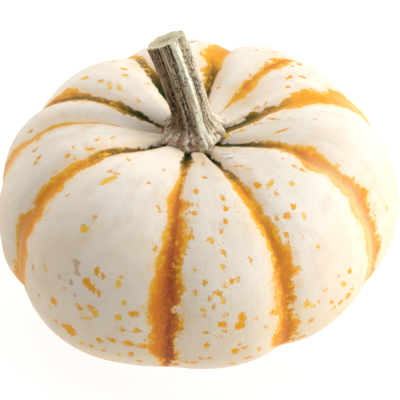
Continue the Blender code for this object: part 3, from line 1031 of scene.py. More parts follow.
@dataclass(frozen=True)
class StemFinish:
    """Dry woody stem: pale ridges, brown furrows with dark specks, a tan foot and a pithy cut. Its left side
    and the gaps between the toes of its foot are painted in shade, and the ridges of its right side are
    painted lighter.
    """

    crest: Colour = paint(250, 245, 222)
    flank: Colour = paint(214, 195, 162)
    # Dark brown of the furrows and threads, and the deepest painted shade in the furrows
    furrow_and_shade: Colour = paint(88, 60, 34)
    shade: Colour = paint(150, 116, 80)
    speck: Colour = paint(36, 42, 30)
    moss: Colour = paint(96, 106, 62)
    foot: Colour = paint(224, 182, 154)
    cut: Colour = paint(254, 246, 214)
    pith: Colour = paint(232, 216, 172)
    knots: Cloud = Cloud(1.5, 4, 14.0)
    streak: Cloud = Cloud(0.8, 5, 2.0)
    grain: Cloud = Cloud(0.8, 5, 6.0)
    dots: Cloud = Cloud(0.36, 2, 8.0)
    dust: Cloud = Cloud(0.35, 3, 12.0)
    thread: Cloud = Cloud(0.3, 3, 4.0)
    dot_roundness: float = 7.0
    relief: float = 0.0006

    def material(self) -> bpy.types.Material:
        """Build the material of the stem.

        Returns:
            The material.
        """
        material, bench = new_material("dry_stem_bark", {"Specular IOR Level": 0.2})
        place, run = bench.node("ShaderNodeTexCoord", output="Object"), bench.field_vector("run")
        ridge, side = bench.field("ridge"), bench.field("side")
        streak, thread = bench.mottle(run, self.streak), bench.mottle(run, self.thread)
        grain, dust = bench.mottle(place, self.grain), bench.mottle(place, self.dust)
        wood = Wood(ridge, side, streak, thread, grain)

        lift = ridge + (streak - 0.5) * 0.9 + (grain - 0.5) * 0.9
        foot = 1 - (bench.field("share") + (grain - 0.5) * 0.16).soft(0.06, 0.2)
        bark = bench.blend(foot * 0.85, self.bark(bench, wood, lift), self.toes(bench, wood, place))
        band = (streak * 0.9 + grain * 0.6 - ridge * 0.22).soft(0.55, 0.82)
        x, y, z = bench.parts(run)
        dots = bench.mottle(bench.vector(x, y, z * self.dot_roundness), self.dots)
        # Dark specks, painted more and darker on the side in shade
        speck = (dots + band * 0.16 + side * 0.04).soft(0.6, 0.65)
        dark = (0.45 + band * 0.5) * (1 - foot * 0.3) * (0.72 + side * 0.28)
        bark = bench.blend(speck * dark, bark, self.speck)
        face = bench.blend(grain.soft(0.38, 0.62), self.pith, self.cut)
        face = bench.blend(dust.soft(0.6, 0.68) * 0.4, face, self.furrow_and_shade)
        bark = bench.blend(bench.field("cut"), bark, face)

        roughness = 0.84 - lift.soft(0.5, 1.0) * 0.12 + (grain - 0.5) * 0.1
        height = streak * 0.5 + thread * 0.25 + dust * 0.3 + grain * 0.45 - speck * 0.15
        wire(material, bark, roughness, height, self.relief)
        return material

    def bark(self, bench: Bench, wood: Wood, lift: Value) -> Value:
        """Colour of the shaft, pale on its ridges and dark in its furrows, with painted shade on its left
        side and painted light on its right.

        Args:
            bench: The material's bench.
            wood: What the colours share.
            lift: Height over the furrows, made uneven.

        Returns:
            The colour.
        """
        side = wood.side
        # Furrows are dark brown, painted darkest on the shaded left side and lighter on the lit right
        shaded_furrow = bench.blend(side.soft(0.1, 0.6) * 0.9 + 0.1, self.shade, self.furrow_and_shade)
        shaded_furrow = bench.blend((1 - side.soft(0.0, 0.4)) * 0.6, shaded_furrow, self.flank)
        bark = bench.blend(lift.soft(0.0, 0.35), shaded_furrow, self.flank)
        # Pale crests, painted light on the lit right side and dimmed on the shaded left
        bark = bench.blend(lift.soft(0.3, 0.8) * (1 - side.soft(0.25, 0.8) * 0.85), bark, self.crest)
        # Painted shade streaked over the left side
        bark = bench.blend(side.soft(0.15, 0.6) * wood.streak.soft(0.2, 0.5) * 0.85, bark, self.shade)
        bark = bench.blend(wood.thread.soft(0.58, 0.7) * 0.35, bark, self.furrow_and_shade)
        moss = (wood.grain + wood.streak - 0.45).soft(0.55, 0.75) * (1 - lift.soft(0.5, 1.0))
        return bench.blend(moss * 0.45, bark, self.moss)

    def toes(self, bench: Bench, wood: Wood, place: Value) -> Value:
        """Colour of the knobbed foot, with painted shade between its knots.

        Args:
            bench: The material's bench.
            wood: What the colours share.
            place: Where on the stem.

        Returns:
            The colour.
        """
        knots = bench.mottle(place, self.knots)
        toes = bench.blend((knots + wood.ridge * 0.12).soft(0.46, 0.62), self.foot, self.crest)
        # Painted shade between the knots
        toes = bench.blend((0.62 - knots - wood.ridge * 0.12).soft(0.1, 0.22) * 0.85, toes, self.shade)
        return bench.blend(wood.thread.soft(0.56, 0.7) * 0.3, toes, self.furrow_and_shade)


@dataclass(frozen=True)
class FloorFinish:
    """Plain pale paper that glows a little."""

    paper: Colour = paint(112, 114, 118)
    shade: Colour = paint(104, 106, 110)
    tooth: Cloud = Cloud(6, 2)
    relief: float = 0.0001
    glow: float = 0.9
    glow_tint: Colour = (1.0, 0.985, 0.97, 1.0)

    def material(self) -> bpy.types.Material:
        """Build the material of the floor.

        Returns:
            The material.
        """
        glow = {"Emission Color": self.glow_tint, "Emission Strength": self.glow}
        material, bench = new_material("pale_paper", {"Specular IOR Level": 0.1, **glow})
        tooth = bench.mottle(bench.node("ShaderNodeTexCoord", output="Object"), self.tooth)
        colour = bench.blend(tooth * 0.2, self.paper, self.shade)
        wire(material, colour, 0.85 + tooth * 0.05, tooth, self.relief)
        return material


def put(mesh: bpy.types.Mesh, name: str, values: np.ndarray) -> None:
    """Put a number or a vector on each point of a mesh.

    Args:
        mesh: The mesh.
        name: What its material calls the number.
        values: A number or a row of three for each point.
    """
    kind, label = ("FLOAT", "value") if values.ndim == 1 else ("FLOAT_VECTOR", "vector")
    held = mesh.attributes.new(name, kind, "POINT")
    held.data.foreach_set(label, values.astype(np.float32).ravel())


@dataclass(frozen=True)
class Skin:
    """The grown fruit, and what the later steps read off it."""

    piece: bpy.types.Object
    points: np.ndarray
    polar: np.ndarray
    azimuth: np.ndarray
    pole: Vector
    heart: Vector
    surface: BVHTree

    @classmethod
    def read(cls, piece: bpy.types.Object, pole_height: float) -> "Skin":
        """Read a grown fruit.

        Args:
            piece: The fruit.
            pole_height: Height of its stem end over its heart.

        Returns:
            What was read.
        """
        mesh = piece.data
        count = len(mesh.vertices)
        flat, polar, azimuth = (np.zeros(size, np.float32) for size in (count * 3, count, count))
        mesh.vertices.foreach_get("co", flat)
        mesh.attributes["polar"].data.foreach_get("value", polar)
        mesh.attributes["azimuth"].data.foreach_get("value", azimuth)
        points = flat.reshape(-1, 3).astype(float)
        pole = Vector(points[np.argmin(polar)])
        heart = pole - Vector((0, 0, pole_height))
        faces = [tuple(face.vertices) for face in mesh.polygons]
        surface = BVHTree.FromPolygons([Vector(point) for point in points], faces)
        return cls(piece, points, polar.astype(float), azimuth.astype(float), pole, heart, surface)


@dataclass
class Rind:
    """The shape of the fruit: a squat body drawn in by ten grooves.

    Sizes are in metres, and what goes by the polar angle, such as a fade, is in radians.
    """

    grooves: tuple[Groove, ...] = GROOVES
    columns: int = 480
    rings: int = 200
    equator_radius: float = 0.052
    crown_height: float = 0.0354
    base_depth: float = 0.0242
    crown_power: float = 2.4
    base_power: float = 2.2
    crown_hollow_depth: float = 0.0118
    crown_hollow_radius: float = 0.0229
    blossom_hollow_depth: float = 0.0052
    blossom_hollow_radius: float = 0.0177
    scar_height: float = 0.0012
    scar_radius: float = 0.0034
    hollow_ease: float = 0.012
    side_swell: float = 0.0015
    diagonal_swell: float = 0.0017
    rest_flat: float = 0.0006
    fold_power_crown: float = 3.5
    fold_power_side: float = 1.9
    fold_crown_reach: float = 0.7
    fold_rounding: float = 0.06
    fade_crown: float = 0.16
    fade_blossom: float = 0.30
    slant_centre: float = 1.3
    crowding: float = 0.05
    lump_height: float = 0.0005
    lump_size: float = 0.3
    lump_seed: float = 4.0
    lump_detail: float = 1.5

    def sizes(self) -> dict[str, float | int]:
        """Name the sizes that the geometry tree takes.

        Returns:
            The sizes of the body, then those of each groove.
        """
        named = {name: value for name, value in vars(self).items() if name != "grooves"}
        for groove in self.grooves:
            for part in ("azimuth", "slant", "depth", "fullness"):
                named[f"{groove.name} {part}"] = float(getattr(groove, part))
        return named

    def ribs(self, grower: Grower, turn: Value) -> tuple[Value, Value, Value, Value, Value]:
        """Follow the grooves and ribs round the fruit.

        Args:
            grower: The geometry tree.
            turn: Degrees past the first groove.

        Returns:
            Distance from a fold as a share, groove depth, rib bulge, slant, and degrees past the
            first groove once the columns are crowded towards the folds.
        """
        first = self.grooves[0]
        start = grower.size(f"{first.name} azimuth")
        from_fold = bulge = turned = 0.0
        depth, slant = grower.size(f"{first.name} depth"), grower.size(f"{first.name} slant")
        for groove, following in zip(self.grooves, self.grooves[1:] + (first,)):
            near = grower.size(f"{groove.name} azimuth") - start
            far = 360.0 if following is first else grower.size(f"{following.name} azimuth") - start
            share = turn.rise(near, far)
            share = share - grower.size("crowding") * (share * math.tau).sin()
            deeper = grower.size(f"{following.name} depth") - grower.size(f"{groove.name} depth")
            steeper = grower.size(f"{following.name} slant") - grower.size(f"{groove.name} slant")
            swell = grower.size(f"{groove.name} fullness") * (share * math.pi).sin() ** 2.0
            fold = 1 - abs(share * 2 - 1)
            from_fold, bulge = from_fold + fold, bulge + swell
            depth, slant = depth + deeper * share, slant + steeper * share
            turned = turned + share * (far - near)
        return from_fold, depth, bulge, slant, turned

    def reach(self, grower: Grower, polar: Value) -> Value:
        """Distance from the heart to the smooth body.

        Args:
            grower: The geometry tree.
            polar: Polar angle.

        Returns:
            The distance, in metres.
        """
        upper = polar.below(math.pi / 2)
        power = grower.size("base_power") + (grower.size("crown_power") - grower.size("base_power")) * upper
        height = grower.size("base_depth") + (grower.size("crown_height") - grower.size("base_depth")) * upper
        across = (abs(polar.sin()) / grower.size("equator_radius")) ** power
        return (across + (abs(polar.cos()) / height) ** power) ** (-1 / power)

    def hollow(self, grower: Grower, polar: Value, radius: Value, height: Value) -> Value:
        """Depth of the hollows round the stem and the blossom scar.

        Args:
            grower: The geometry tree.
            polar: Polar angle.
            radius: Distance from the axis.
            height: Height over the heart.

        Returns:
            What is added to the height.
        """
        upper = polar.below(math.pi / 2)
        crown = radius.bell(grower.size("crown_hollow_radius")) * grower.size("crown_hollow_depth")
        blossom = radius.bell(grower.size("blossom_hollow_radius")) * grower.size("blossom_hollow_depth")
        scar = radius.bell(grower.size("scar_radius")) * grower.size("scar_height")
        ease = (abs(height) / grower.size("hollow_ease")).least(1.0)
        return ((blossom - scar) * (1 - upper) - crown * upper) * ease

    def skin(self, grower: Grower) -> Value:
        """Grow the whole skin from a sphere.

        Args:
            grower: The geometry tree.

        Returns:
            The finished shape, resting on the floor with its box centred over the origin.
        """
        shape = grower.node(
            "GeometryNodeMeshUVSphere",
            inputs={"Segments": grower.size("columns"), "Rings": grower.size("rings"), "Radius": 1.0},
        )
        where = grower.node("GeometryNodeInputPosition")
        x, y, z = grower.parts(where)
        polar = grower.maths("ARCCOSINE", z.least(1.0).most(-1.0))
        start = grower.size(f"{self.grooves[0].name} azimuth")
        turn = grower.maths("DEGREES", grower.maths("ARCTAN2", x, -y)) - start
        turn = grower.maths("FLOORED_MODULO", turn, 360.0)
        from_fold, depth, bulge, slant, turned = self.ribs(grower, turn)
        azimuth = start + turned + slant * (polar - grower.size("slant_centre"))

        rounding = grower.size("fold_rounding")
        rounded = (from_fold ** 2.0 + rounding * rounding).root() - rounding
        rounded = rounded / ((1 + rounding * rounding).root() - rounding)
        power = grower.size("fold_power_crown") - grower.size("fold_power_side")
        power = grower.size("fold_power_side") + power * polar.bell(grower.size("fold_crown_reach"))
        cut = depth * (1 - rounded).most(0.0) ** power - bulge
        fade = 1 - polar.bell(grower.size("fade_crown"))
        fade = fade * (1 - (math.pi - polar).bell(grower.size("fade_blossom")))

        seed, scale = grower.size("lump_seed"), 1 / grower.size("lump_size")
        inputs = {"Vector": where, "W": seed, "Scale": scale, "Detail": grower.size("lump_detail")}
        lumps = grower.node("ShaderNodeTexNoise", {"noise_dimensions": "4D"}, inputs)
        cut = cut + (lumps - 0.5) * 2 * grower.size("lump_height")
        reach = self.reach(grower, polar) * (1 - cut * fade / grower.size("equator_radius"))
        radius = reach * polar.sin()
        height = reach * polar.cos()
        height = height + self.hollow(grower, polar, radius, height)
        angle = azimuth * (math.pi / 180)
        swell = grower.size("side_swell") * angle.sin() - grower.size("diagonal_swell") * (angle * 2).sin()
        radius = radius * (1 + swell / grower.size("equator_radius") * polar.sin())

        shape = grower.store(shape, "polar", polar)
        shape = grower.store(shape, "azimuth", azimuth)
        shape = grower.move(shape, grower.vector(radius * angle.sin(), -(radius * angle.cos()), height))
        return self.rest(grower, shape)

    def rest(self, grower: Grower, shape: Value) -> Value:
        """Press the lowest ribs flat and set the fruit down.

        Args:
            grower: The geometry tree.
            shape: The skin round its heart.

        Returns:
            The skin on the floor.
        """
        where = grower.node("GeometryNodeInputPosition")
        extent = {"Geometry": shape, "Attribute": where}
        low = grower.node("GeometryNodeAttributeStatistic", {"data_type": "FLOAT_VECTOR"}, extent, "Min")
        high = grower.node("GeometryNodeAttributeStatistic", {"data_type": "FLOAT_VECTOR"}, extent, "Max")
        (low_x, low_y, low_z), (high_x, high_y, _) = grower.parts(low), grower.parts(high)
        x, y, z = grower.parts(where)
        floor = low_z + grower.size("rest_flat")
        middle_x, middle_y = (low_x + high_x) * 0.5, (low_y + high_y) * 0.5
        return grower.move(shape, grower.vector(x - middle_x, y - middle_y, z.most(floor) - floor))

    def build(self, finish: bpy.types.Material) -> Skin:
        """Grow the fruit.

        Args:
            finish: Its material.

        Returns:
            Its skin.
        """
        grower = Grower("ribbed_fruit", self.sizes())
        piece = grower.grow("rind", self.skin(grower), finish)
        return Skin.read(piece, self.crown_height - self.crown_hollow_depth)


@dataclass
class Markings:
    """What is painted on the skin: the stripes in the grooves, and the flecks.

    Sizes are in millimetres, leans in degrees, and fades in radians of polar angle. Only ray_start and
    nearest, the least distance at which a neighbour is weighed, are in metres.
    """

    rind: Rind
    skin: Skin
    view: Viewpoint
    farthest: float = 12.0
    core_margin: float = 0.3
    colour_fade: float = 0.1
    brown_fade: float = 0.12
    sheen_start_fade: float = 0.25
    sheen_end_fade: float = 0.2
    loosest_width: float = 5.0
    tightest: float = 0.2
    loose_left: float = 0.6
    looser_right: float = 0.6
    looser_low: float = 0.4
    right_reach: tuple[float, float] = (-1.5, 2.5)
    low_polars: tuple[float, float] = (1.1, 1.5)
    fibre_draw: float = 0.2
    fleck_rim: float = 0.14
    fleck_reach: float = 6.0
    fleck_outside: float = -3.0
    hidden_flecks: int = 300
    hidden_seed: int = 11
    hidden_lengths: tuple[float, float] = (0.8, 2.2)
    hidden_widths: tuple[float, float] = (0.6, 1.4)
    hidden_leans: tuple[float, float] = (-40, 40)
    hidden_polars: tuple[float, float] = (0.5, 2.3)
    hidden_hues: tuple[Hue, ...] = (Hue.GOLD, Hue.ORANGE, Hue.ORANGE, Hue.ORANGE, Hue.BROWN)
    stripe_gap: float = 1.5
    ray_start: float = 0.02
    neighbours: int = 4
    nearest: float = 1e-6

    def build(self) -> int:
        """Mark the skin.

        Returns:
            How many flecks it has.
        """
        edge = self.stripes()
        turn = np.radians(self.skin.azimuth)
        run = np.stack([np.sin(turn), -np.cos(turn), self.skin.polar * self.fibre_draw], axis=1)
        put(self.skin.piece.data, "run", run * self.rind.equator_radius)
        return self.flecks(edge)

    def stripes(self) -> np.ndarray:
        """Mark the stripes.

        Returns:
            How far each point lies inside a stripe.
        """
        skin, polar = self.skin, self.skin.polar
        from_axis = np.hypot(skin.points[:, 0] - skin.heart.x, skin.points[:, 1] - skin.heart.y) / MM
        edge = np.full(len(polar), -self.farthest)
        names = ("valley", "green", "brown", "pale", "burnt", "loose")
        fields = {name: np.zeros(len(polar)) for name in names}
        for groove in self.rind.grooves:
            off = skin.azimuth - groove.floor(polar, self.rind.slant_centre)
            gap = np.radians((off + 180) % 360 - 180) * from_axis
            left, right = self.reach(groove, gap)
            inside = np.minimum(gap + left, right - gap)
            # The core, where the burnt orange and its painted shade go, keeps a margin from the left edge
            margin = self.core_margin * (left + right)
            core = np.minimum(np.maximum(0, margin - left), np.maximum(right - margin, margin - left))
            nearer = inside > edge
            edge[nearer] = inside[nearer]
            here = {
                "valley": gap - core,
                "green": self.until(groove.green_until, self.colour_fade),
                "brown": self.until(groove.brown_until, self.brown_fade),
                # pale holds the strength of the bands of painted highlight
                "pale": self.pale(groove.pale, gap - core),
                "burnt": np.full(len(polar), groove.burnt),
                "loose": np.clip((left + right) / self.loosest_width, self.tightest, 1.0),
            }
            for name, values in here.items():
                fields[name][nearer] = values[nearer]
        # Edges are looser right of the core and low on the fruit
        looser = self.loose_left + self.looser_right * soft_step(fields["valley"], *self.right_reach)
        fields["loose"] *= looser + self.looser_low * soft_step(polar, *self.low_polars)
        for name, values in {"edge": edge, **fields}.items():
            put(skin.piece.data, name, values)
        return edge

    def reach(self, groove: Groove, gap: np.ndarray) -> tuple[np.ndarray, np.ndarray]:
        """Spread of a stripe to the left and right.

        Args:
            groove: The stripe's groove.
            gap: How far each point of the skin lies right of the groove's floor.

        Returns:
            The two widths at each point.
        """
        left = [(spread.polar, spread.left) for spread in groove.hidden]
        right = [(spread.polar, spread.right) for spread in groove.hidden]
        return self.width(self.seen(groove.left, -gap), left), self.width(self.seen(groove.right, gap), right)

    def width(self, seen: list[tuple[float, float]], hidden: list[tuple[float, float]]) -> np.ndarray:
        """Width of one side of a stripe.

        Args:
            seen: Polar angles and widths, where the photograph shows the edge.
            hidden: Chosen ones, of which those beside the seen ones count.

        Returns:
            The width at each point of the skin.
        """
        first, last = min(seen)[0], max(seen)[0]
        stations = sorted(seen + [station for station in hidden if not first <= station[0] <= last])
        return np.interp(self.skin.polar, *zip(*stations))

    def seen(self, edge: tuple[Pixel, ...], gap: np.ndarray) -> list[tuple[float, float]]:
        """Cast the edge of a stripe from the photograph onto the skin.

        Args:
            edge: The pixels that show it.
            gap: How far each point of the skin lies from the groove's floor, towards this edge.

        Returns:
            The polar angle and the gap where each pixel meets the skin.
        """
        skin, found = self.skin, []
        eye = self.view.place(skin.heart)
        for pixel in edge:
            centre = skin.surface.ray_cast(eye, self.view.sight(*pixel))[0]
            if centre is None:
                continue
            away = np.linalg.norm(skin.points - np.array(centre), axis=1)
            near = np.argpartition(away, self.neighbours)[: self.neighbours]
            share = 1 / np.maximum(away[near], self.nearest)
            place = [float(np.average(values[near], weights=share)) for values in (skin.polar, gap)]
            found.append((place[0], place[1]))
        return found

    def until(self, end: float, fade: float) -> np.ndarray:
        """One from the stem end to a polar angle, and zero past it."""
        return 1 - soft_step(self.skin.polar, end - self.colour_fade, end + fade)

    def pale(self, band: SheenBand, across: np.ndarray) -> np.ndarray:
        """Strength of a pale band of painted highlight.

        Args:
            band: The band.
            across: How far each point lies right of the stripe's core.

        Returns:
            The strength at each point.
        """
        strength = bell(across - band.middle, band.width)
        strength *= band.strength * soft_step(self.skin.polar, band.start, band.start + self.sheen_start_fade)
        return strength * (1 - soft_step(self.skin.polar, band.end, band.end + self.sheen_end_fade))

    def flecks(self, edge: np.ndarray) -> int:
        """Mark the flecks, those of the photograph first.

        Args:
            edge: How far each point lies inside a stripe.

        Returns:
            How many were marked.
        """
        skin = self.skin
        inside = np.full(len(skin.points), self.fleck_outside)
        hue = np.full(len(skin.points), Hue.ORANGE.value)
        eye = self.view.place(skin.heart)
        marked = 0
        for fleck in FLECKS:
            centre, normal, _, _ = skin.surface.ray_cast(eye, self.view.sight(fleck.photo_x, fleck.photo_y))
            if centre is None:
                continue
            self.fleck(inside, hue, centre, normal, fleck)
            marked += 1
        draw = np.random.default_rng(self.hidden_seed)
        for _ in range(self.hidden_flecks):
            index = int(draw.integers(len(skin.points)))
            length, width = draw.uniform(*self.hidden_lengths), draw.uniform(*self.hidden_widths)
            lean = draw.uniform(*self.hidden_leans)
            tone = self.hidden_hues[int(draw.integers(len(self.hidden_hues)))]
            if self.hidden(index, eye) and edge[index] <= -self.stripe_gap:
                centre = Vector(skin.points[index])
                outward = (centre - skin.heart).normalized()
                self.fleck(inside, hue, centre, outward, Fleck(0, 0, length, width, lean, tone))
                marked += 1
        put(skin.piece.data, "fleck", inside)
        put(skin.piece.data, "fleck_hue", hue)
        return marked

    def hidden(self, index: int, eye: Vector) -> bool:
        """Whether a point may take a fleck because the photograph doesn't show it.

        Args:
            index: The point.
            eye: Where the camera stands.

        Returns:
            True where the point is out of sight and neither in the crown nor underneath.
        """
        centre = Vector(self.skin.points[index])
        away = eye - centre
        free = self.skin.surface.ray_cast(centre + away * self.ray_start, away)[0] is None
        facing = (centre - self.skin.heart).normalized().dot(away.normalized()) > 0
        first, last = self.hidden_polars
        return not (free and facing) and first < self.skin.polar[index] < last

    def fleck(
        self, inside: np.ndarray, hue: np.ndarray, centre: Vector, normal: Vector, fleck: Fleck
    ) -> None:
        """Add one fleck to the skin.

        Args:
            inside: How far each point lies inside a fleck, changed in place.
            hue: The colour of the nearest fleck, changed in place.
            centre: Middle of the fleck.
            normal: Direction out of the skin there.
            fleck: The fleck's size and colour.
        """
        down = Vector((0, 0, -1)) - normal * normal.dot(Vector((0, 0, -1)))
        down = Quaternion(normal, math.radians(fleck.lean)) @ down.normalized()
        aside = normal.cross(down)
        off = (self.skin.points - np.array(centre)) / MM
        near = np.abs(off).max(axis=1) < self.fleck_reach
        half_length, half_width = fleck.length / 2 + self.fleck_rim, fleck.width / 2 + self.fleck_rim
        along = off[near] @ np.array(down) / half_length
        across = off[near] @ np.array(aside) / half_width
        depth = (1 - np.hypot(along, across)) * min(half_length, half_width)
        better = depth > inside[near]
        index = np.nonzero(near)[0][better]
        inside[index] = depth[better]
        hue[index] = fleck.hue.value


class Ridge(NamedTuple):
    """A lengthwise ridge: its azimuth and width in degrees, and its height as a share of the radius."""

    azimuth: float
    height: float
    width: float


RIDGES = (
    Ridge(-150, 0.12, 18), Ridge(-108, 0.12, 16), Ridge(-60, 0.20, 20), Ridge(-14, 0.12, 13),
    Ridge(27, 0.24, 15), Ridge(72, 0.12, 15), Ridge(112, 0.20, 17), Ridge(158, 0.16, 18),
)


@dataclass
class Stem:
    """The dry cut stem: knobbed foot, bent ridged shaft and flat pithy cut.

    Sizes are in metres. A share is of the stem's height, from its seat to its cut.
    """

    skin: Skin
    ridges: tuple[Ridge, ...] = RIDGES
    height: float = 0.0255
    lean_left: float = 0.0064
    lean_back: float = 0.0042
    lean_power: float = 1.6
    shift_right: float = 0.0003
    foot_radius: float = 0.0089
    foot_thickness: float = 0.0009
    foot_flare: float = 0.12
    foot_flare_power: float = 1.6
    foot_knob: float = 0.20
    toe_swell: float = 0.12
    toe_share: float = 0.1
    toe_reach: float = 0.07
    shaft_low: float = 0.0045
    shaft_high: float = 0.0046
    cut_bevel: float = 0.00025
    cut_dish: float = 0.0002
    cut_grain: float = 0.00004
    cut_smooth: float = 0.15
    seat_gap: float = 0.00012
    columns: int = 320
    cut_rings: int = 18
    shaft_rings: int = 130
    foot_rings: int = 44
    seat_rings: int = 10
    foot_share: float = 0.30
    cord_waves: tuple[int, int, int] = (12, 46, 3)
    cord_height: float = 0.03
    cord_shade: float = 0.16
    cord_wander: float = 2.5
    cord_pace: tuple[float, float] = (3, 9)
    cord_strength: tuple[float, float] = (0.2, 0.5)
    shade_side_turn: float = 20
    fibre_draw: float = 0.1
    bark_height: float = 0.00022
    bark_lumps: tuple[tuple[int, int, float], ...] = ((9, 20, 0.5), (26, 56, 0.35), (60, 110, 0.25))
    foot_lumps: float = 1.6
    seed: int = 5

    @property
    def azimuths(self) -> np.ndarray:
        """Azimuths of the columns, in degrees."""
        return np.arange(self.columns) * 360 / self.columns

    @property
    def highest(self) -> float:
        """Height of the highest ridge, as a share of the radius."""
        return max(ridge.height for ridge in self.ridges)

    @property
    def foot(self) -> np.ndarray:
        """Radius of the foot at each column."""
        knobs = self.foot_knob * self.relief(self.azimuths) / self.highest
        return self.foot_radius * (1 - self.foot_knob + knobs)

    def relief(self, azimuth: np.ndarray) -> np.ndarray:
        """Height of the ridges above the furrows.

        Args:
            azimuth: Azimuths, in degrees.

        Returns:
            The heights, as a share of the radius.
        """
        height = np.zeros_like(azimuth)
        for ridge in self.ridges:
            off = (azimuth - ridge.azimuth + 180) % 360 - 180
            height += ridge.height * bell(off, ridge.width)
        return height

    def cords(self, azimuth: np.ndarray, share: np.ndarray) -> np.ndarray:
        """Fine cords that run up the stem and wander a little.

        Args:
            azimuth: Azimuths, in degrees.
            share: Shares of the height.

        Returns:
            Their height, between about -1 and 1.
        """
        draw = np.random.default_rng(self.seed)
        height = np.zeros(np.broadcast(azimuth, share).shape)
        for waves in range(*self.cord_waves):
            start, wander = draw.uniform(0, math.tau), draw.uniform(-self.cord_wander, self.cord_wander)
            pace = draw.uniform(*self.cord_pace)
            phase = np.radians(azimuth) * waves + start + wander * np.sin(pace * share + start)
            height += np.sin(phase) * draw.uniform(*self.cord_strength)
        return height

    def bark(self, share: np.ndarray) -> np.ndarray:
        """Uneven lumps of the bark, drawn out along the stem.

        Each layer has a number of lumps up and round the stem, and a strength.

        Args:
            share: Shares of the height, as a column.

        Returns:
            Their height, between -1 and 1.
        """
        height = np.zeros((len(share), self.columns))
        for rows, across, strength in self.bark_lumps:
            draw = np.random.default_rng(self.seed + rows)
            lumps = draw.uniform(-1, 1, (rows + 2, across))
            place = np.clip(share[:, 0], 0, 1) * rows
            low = place.astype(int)
            part = soft_step(place - low, 0, 1)[:, None]
            ring = lumps[low] * (1 - part) + lumps[low + 1] * part
            turn = self.azimuths / 360 * across
            left = turn.astype(int)
            aside = soft_step(turn - left, 0, 1)[None, :]
            height += strength * (ring[:, left] * (1 - aside) + ring[:, (left + 1) % across] * aside)
        return height

    def crown_height(self, x: float, y: float) -> float:
        """Height of the crown under a point."""
        over = Vector((x, y, self.skin.pole.z + self.height))
        return self.skin.surface.ray_cast(over, Vector((0, 0, -1)))[0].z

    def axis(self, share: np.ndarray) -> tuple[np.ndarray, np.ndarray, np.ndarray, np.ndarray]:
        """Middle of the shaft and its directions.

        Args:
            share: Shares of the height, as a column.

        Returns:
            The middle, and the directions up, right and front, one row each.
        """
        bend = share**self.lean_power
        slope = self.lean_power * share ** (self.lean_power - 1)
        left = self.lean_left * bend - self.shift_right
        pole = self.skin.pole
        z = pole.z + self.seat_gap + self.height * share
        centre = np.stack([pole.x - left, pole.y + self.lean_back * bend, z], axis=-1)
        up = np.stack([-self.lean_left * slope, self.lean_back * slope, self.height + 0 * share], axis=-1)
        up /= np.linalg.norm(up, axis=-1, keepdims=True)
        right = np.array([1.0, 0, 0]) - up * up[..., :1]
        right /= np.linalg.norm(right, axis=-1, keepdims=True)
        return centre, up, right, np.cross(right, up)

    def flank(self, share: np.ndarray, rise: np.ndarray, inset: float = 0.0, lift: float = 0.0) -> np.ndarray:
        """Points of the stem's side.

        Args:
            share: Shares of the height, one for each ring.
            rise: Height of the crown under the foot's rim, over the seat.
            inset: How far the ring is drawn in.
            lift: How far the ring is raised along the shaft.

        Returns:
            A row of points for each ring.
        """
        share = share[:, None]
        centre, up, right, front = self.axis(share)
        shaft = self.shaft_low + (self.shaft_high - self.shaft_low) * share
        relief = self.relief(self.azimuths)[None, :]
        cords = self.cords(self.azimuths[None, :], share) * self.cord_height
        shaft = shaft * (1 - self.highest / 2 + relief + cords)
        flare = np.exp(-((share / self.foot_flare) ** self.foot_flare_power))
        toe = self.toe_swell * relief / self.highest * bell(share - self.toe_share, self.toe_reach)
        radius = (shaft + (self.foot[None, :] - shaft) * flare) * (1 + toe) - inset
        radius = radius + self.bark(share) * self.bark_height * (1 + self.foot_lumps * flare)
        turn = np.radians(self.azimuths)[None, :, None]
        points = centre + up * lift + (right * np.sin(turn) + front * np.cos(turn)) * radius[..., None]
        points[..., 2] += (rise[None, :] + self.foot_thickness * np.ones_like(share)) * flare
        return points

    def seat(self) -> np.ndarray:
        """Rest the underside on the crown.

        Returns:
            Its rings, from the rim inwards.
        """
        turn, pole = np.radians(self.azimuths), self.skin.pole
        rings = []
        for step in np.linspace(1, 0, self.seat_rings + 1):
            x = pole.x + self.foot * step * np.sin(turn)
            y = pole.y - self.foot * step * np.cos(turn)
            z = [self.crown_height(*place) + self.seat_gap for place in zip(x, y)]
            rings.append(np.stack([x, y, z], axis=-1))
        return np.array(rings)

    def face(self, rise: np.ndarray) -> tuple[np.ndarray, np.ndarray]:
        """Points of the dished and rough cut.

        Args:
            rise: Height of the crown under the foot's rim, over the seat.

        Returns:
            Its middle point, and its rings from the middle outwards.
        """
        rim = self.flank(np.ones(1), rise, self.cut_bevel, self.cut_bevel)[0]
        centre, up, _, _ = self.axis(np.ones(1))
        middle = centre[0] + up[0] * self.cut_bevel
        outward = np.linspace(0, 1, self.cut_rings + 1)[1:, None, None]
        dish = self.cut_dish * (1 - outward**2)
        draw = np.random.default_rng(self.seed + 1)
        rough = draw.normal(0, self.cut_grain, (self.cut_rings, self.columns, 1))
        rough = rough * (outward < 1) * (outward > self.cut_smooth)
        return middle - up[0] * self.cut_dish, middle + (rim - middle) * outward - up[0] * (dish + rough)

    def build(self, finish: bpy.types.Material) -> bpy.types.Object:
        """Make the stem.

        Args:
            finish: Its material.

        Returns:
            The piece.
        """
        under = self.seat()
        rise = under[0, :, 2] - (self.skin.pole.z + self.seat_gap)
        shares = np.concatenate([
            np.linspace(1, self.foot_share, self.shaft_rings, endpoint=False),
            self.foot_share * (1 - np.linspace(0, 1, self.foot_rings)),
        ])
        top, face = self.face(rise)
        rows = np.concatenate([face, self.flank(shares, rise), under[:-1]])
        points = np.concatenate([[top], rows.reshape(-1, 3), [under[-1, 0]]])
        piece = self.join("dry_stem", points, len(rows), finish)
        self.mark(piece.data, shares)
        return piece

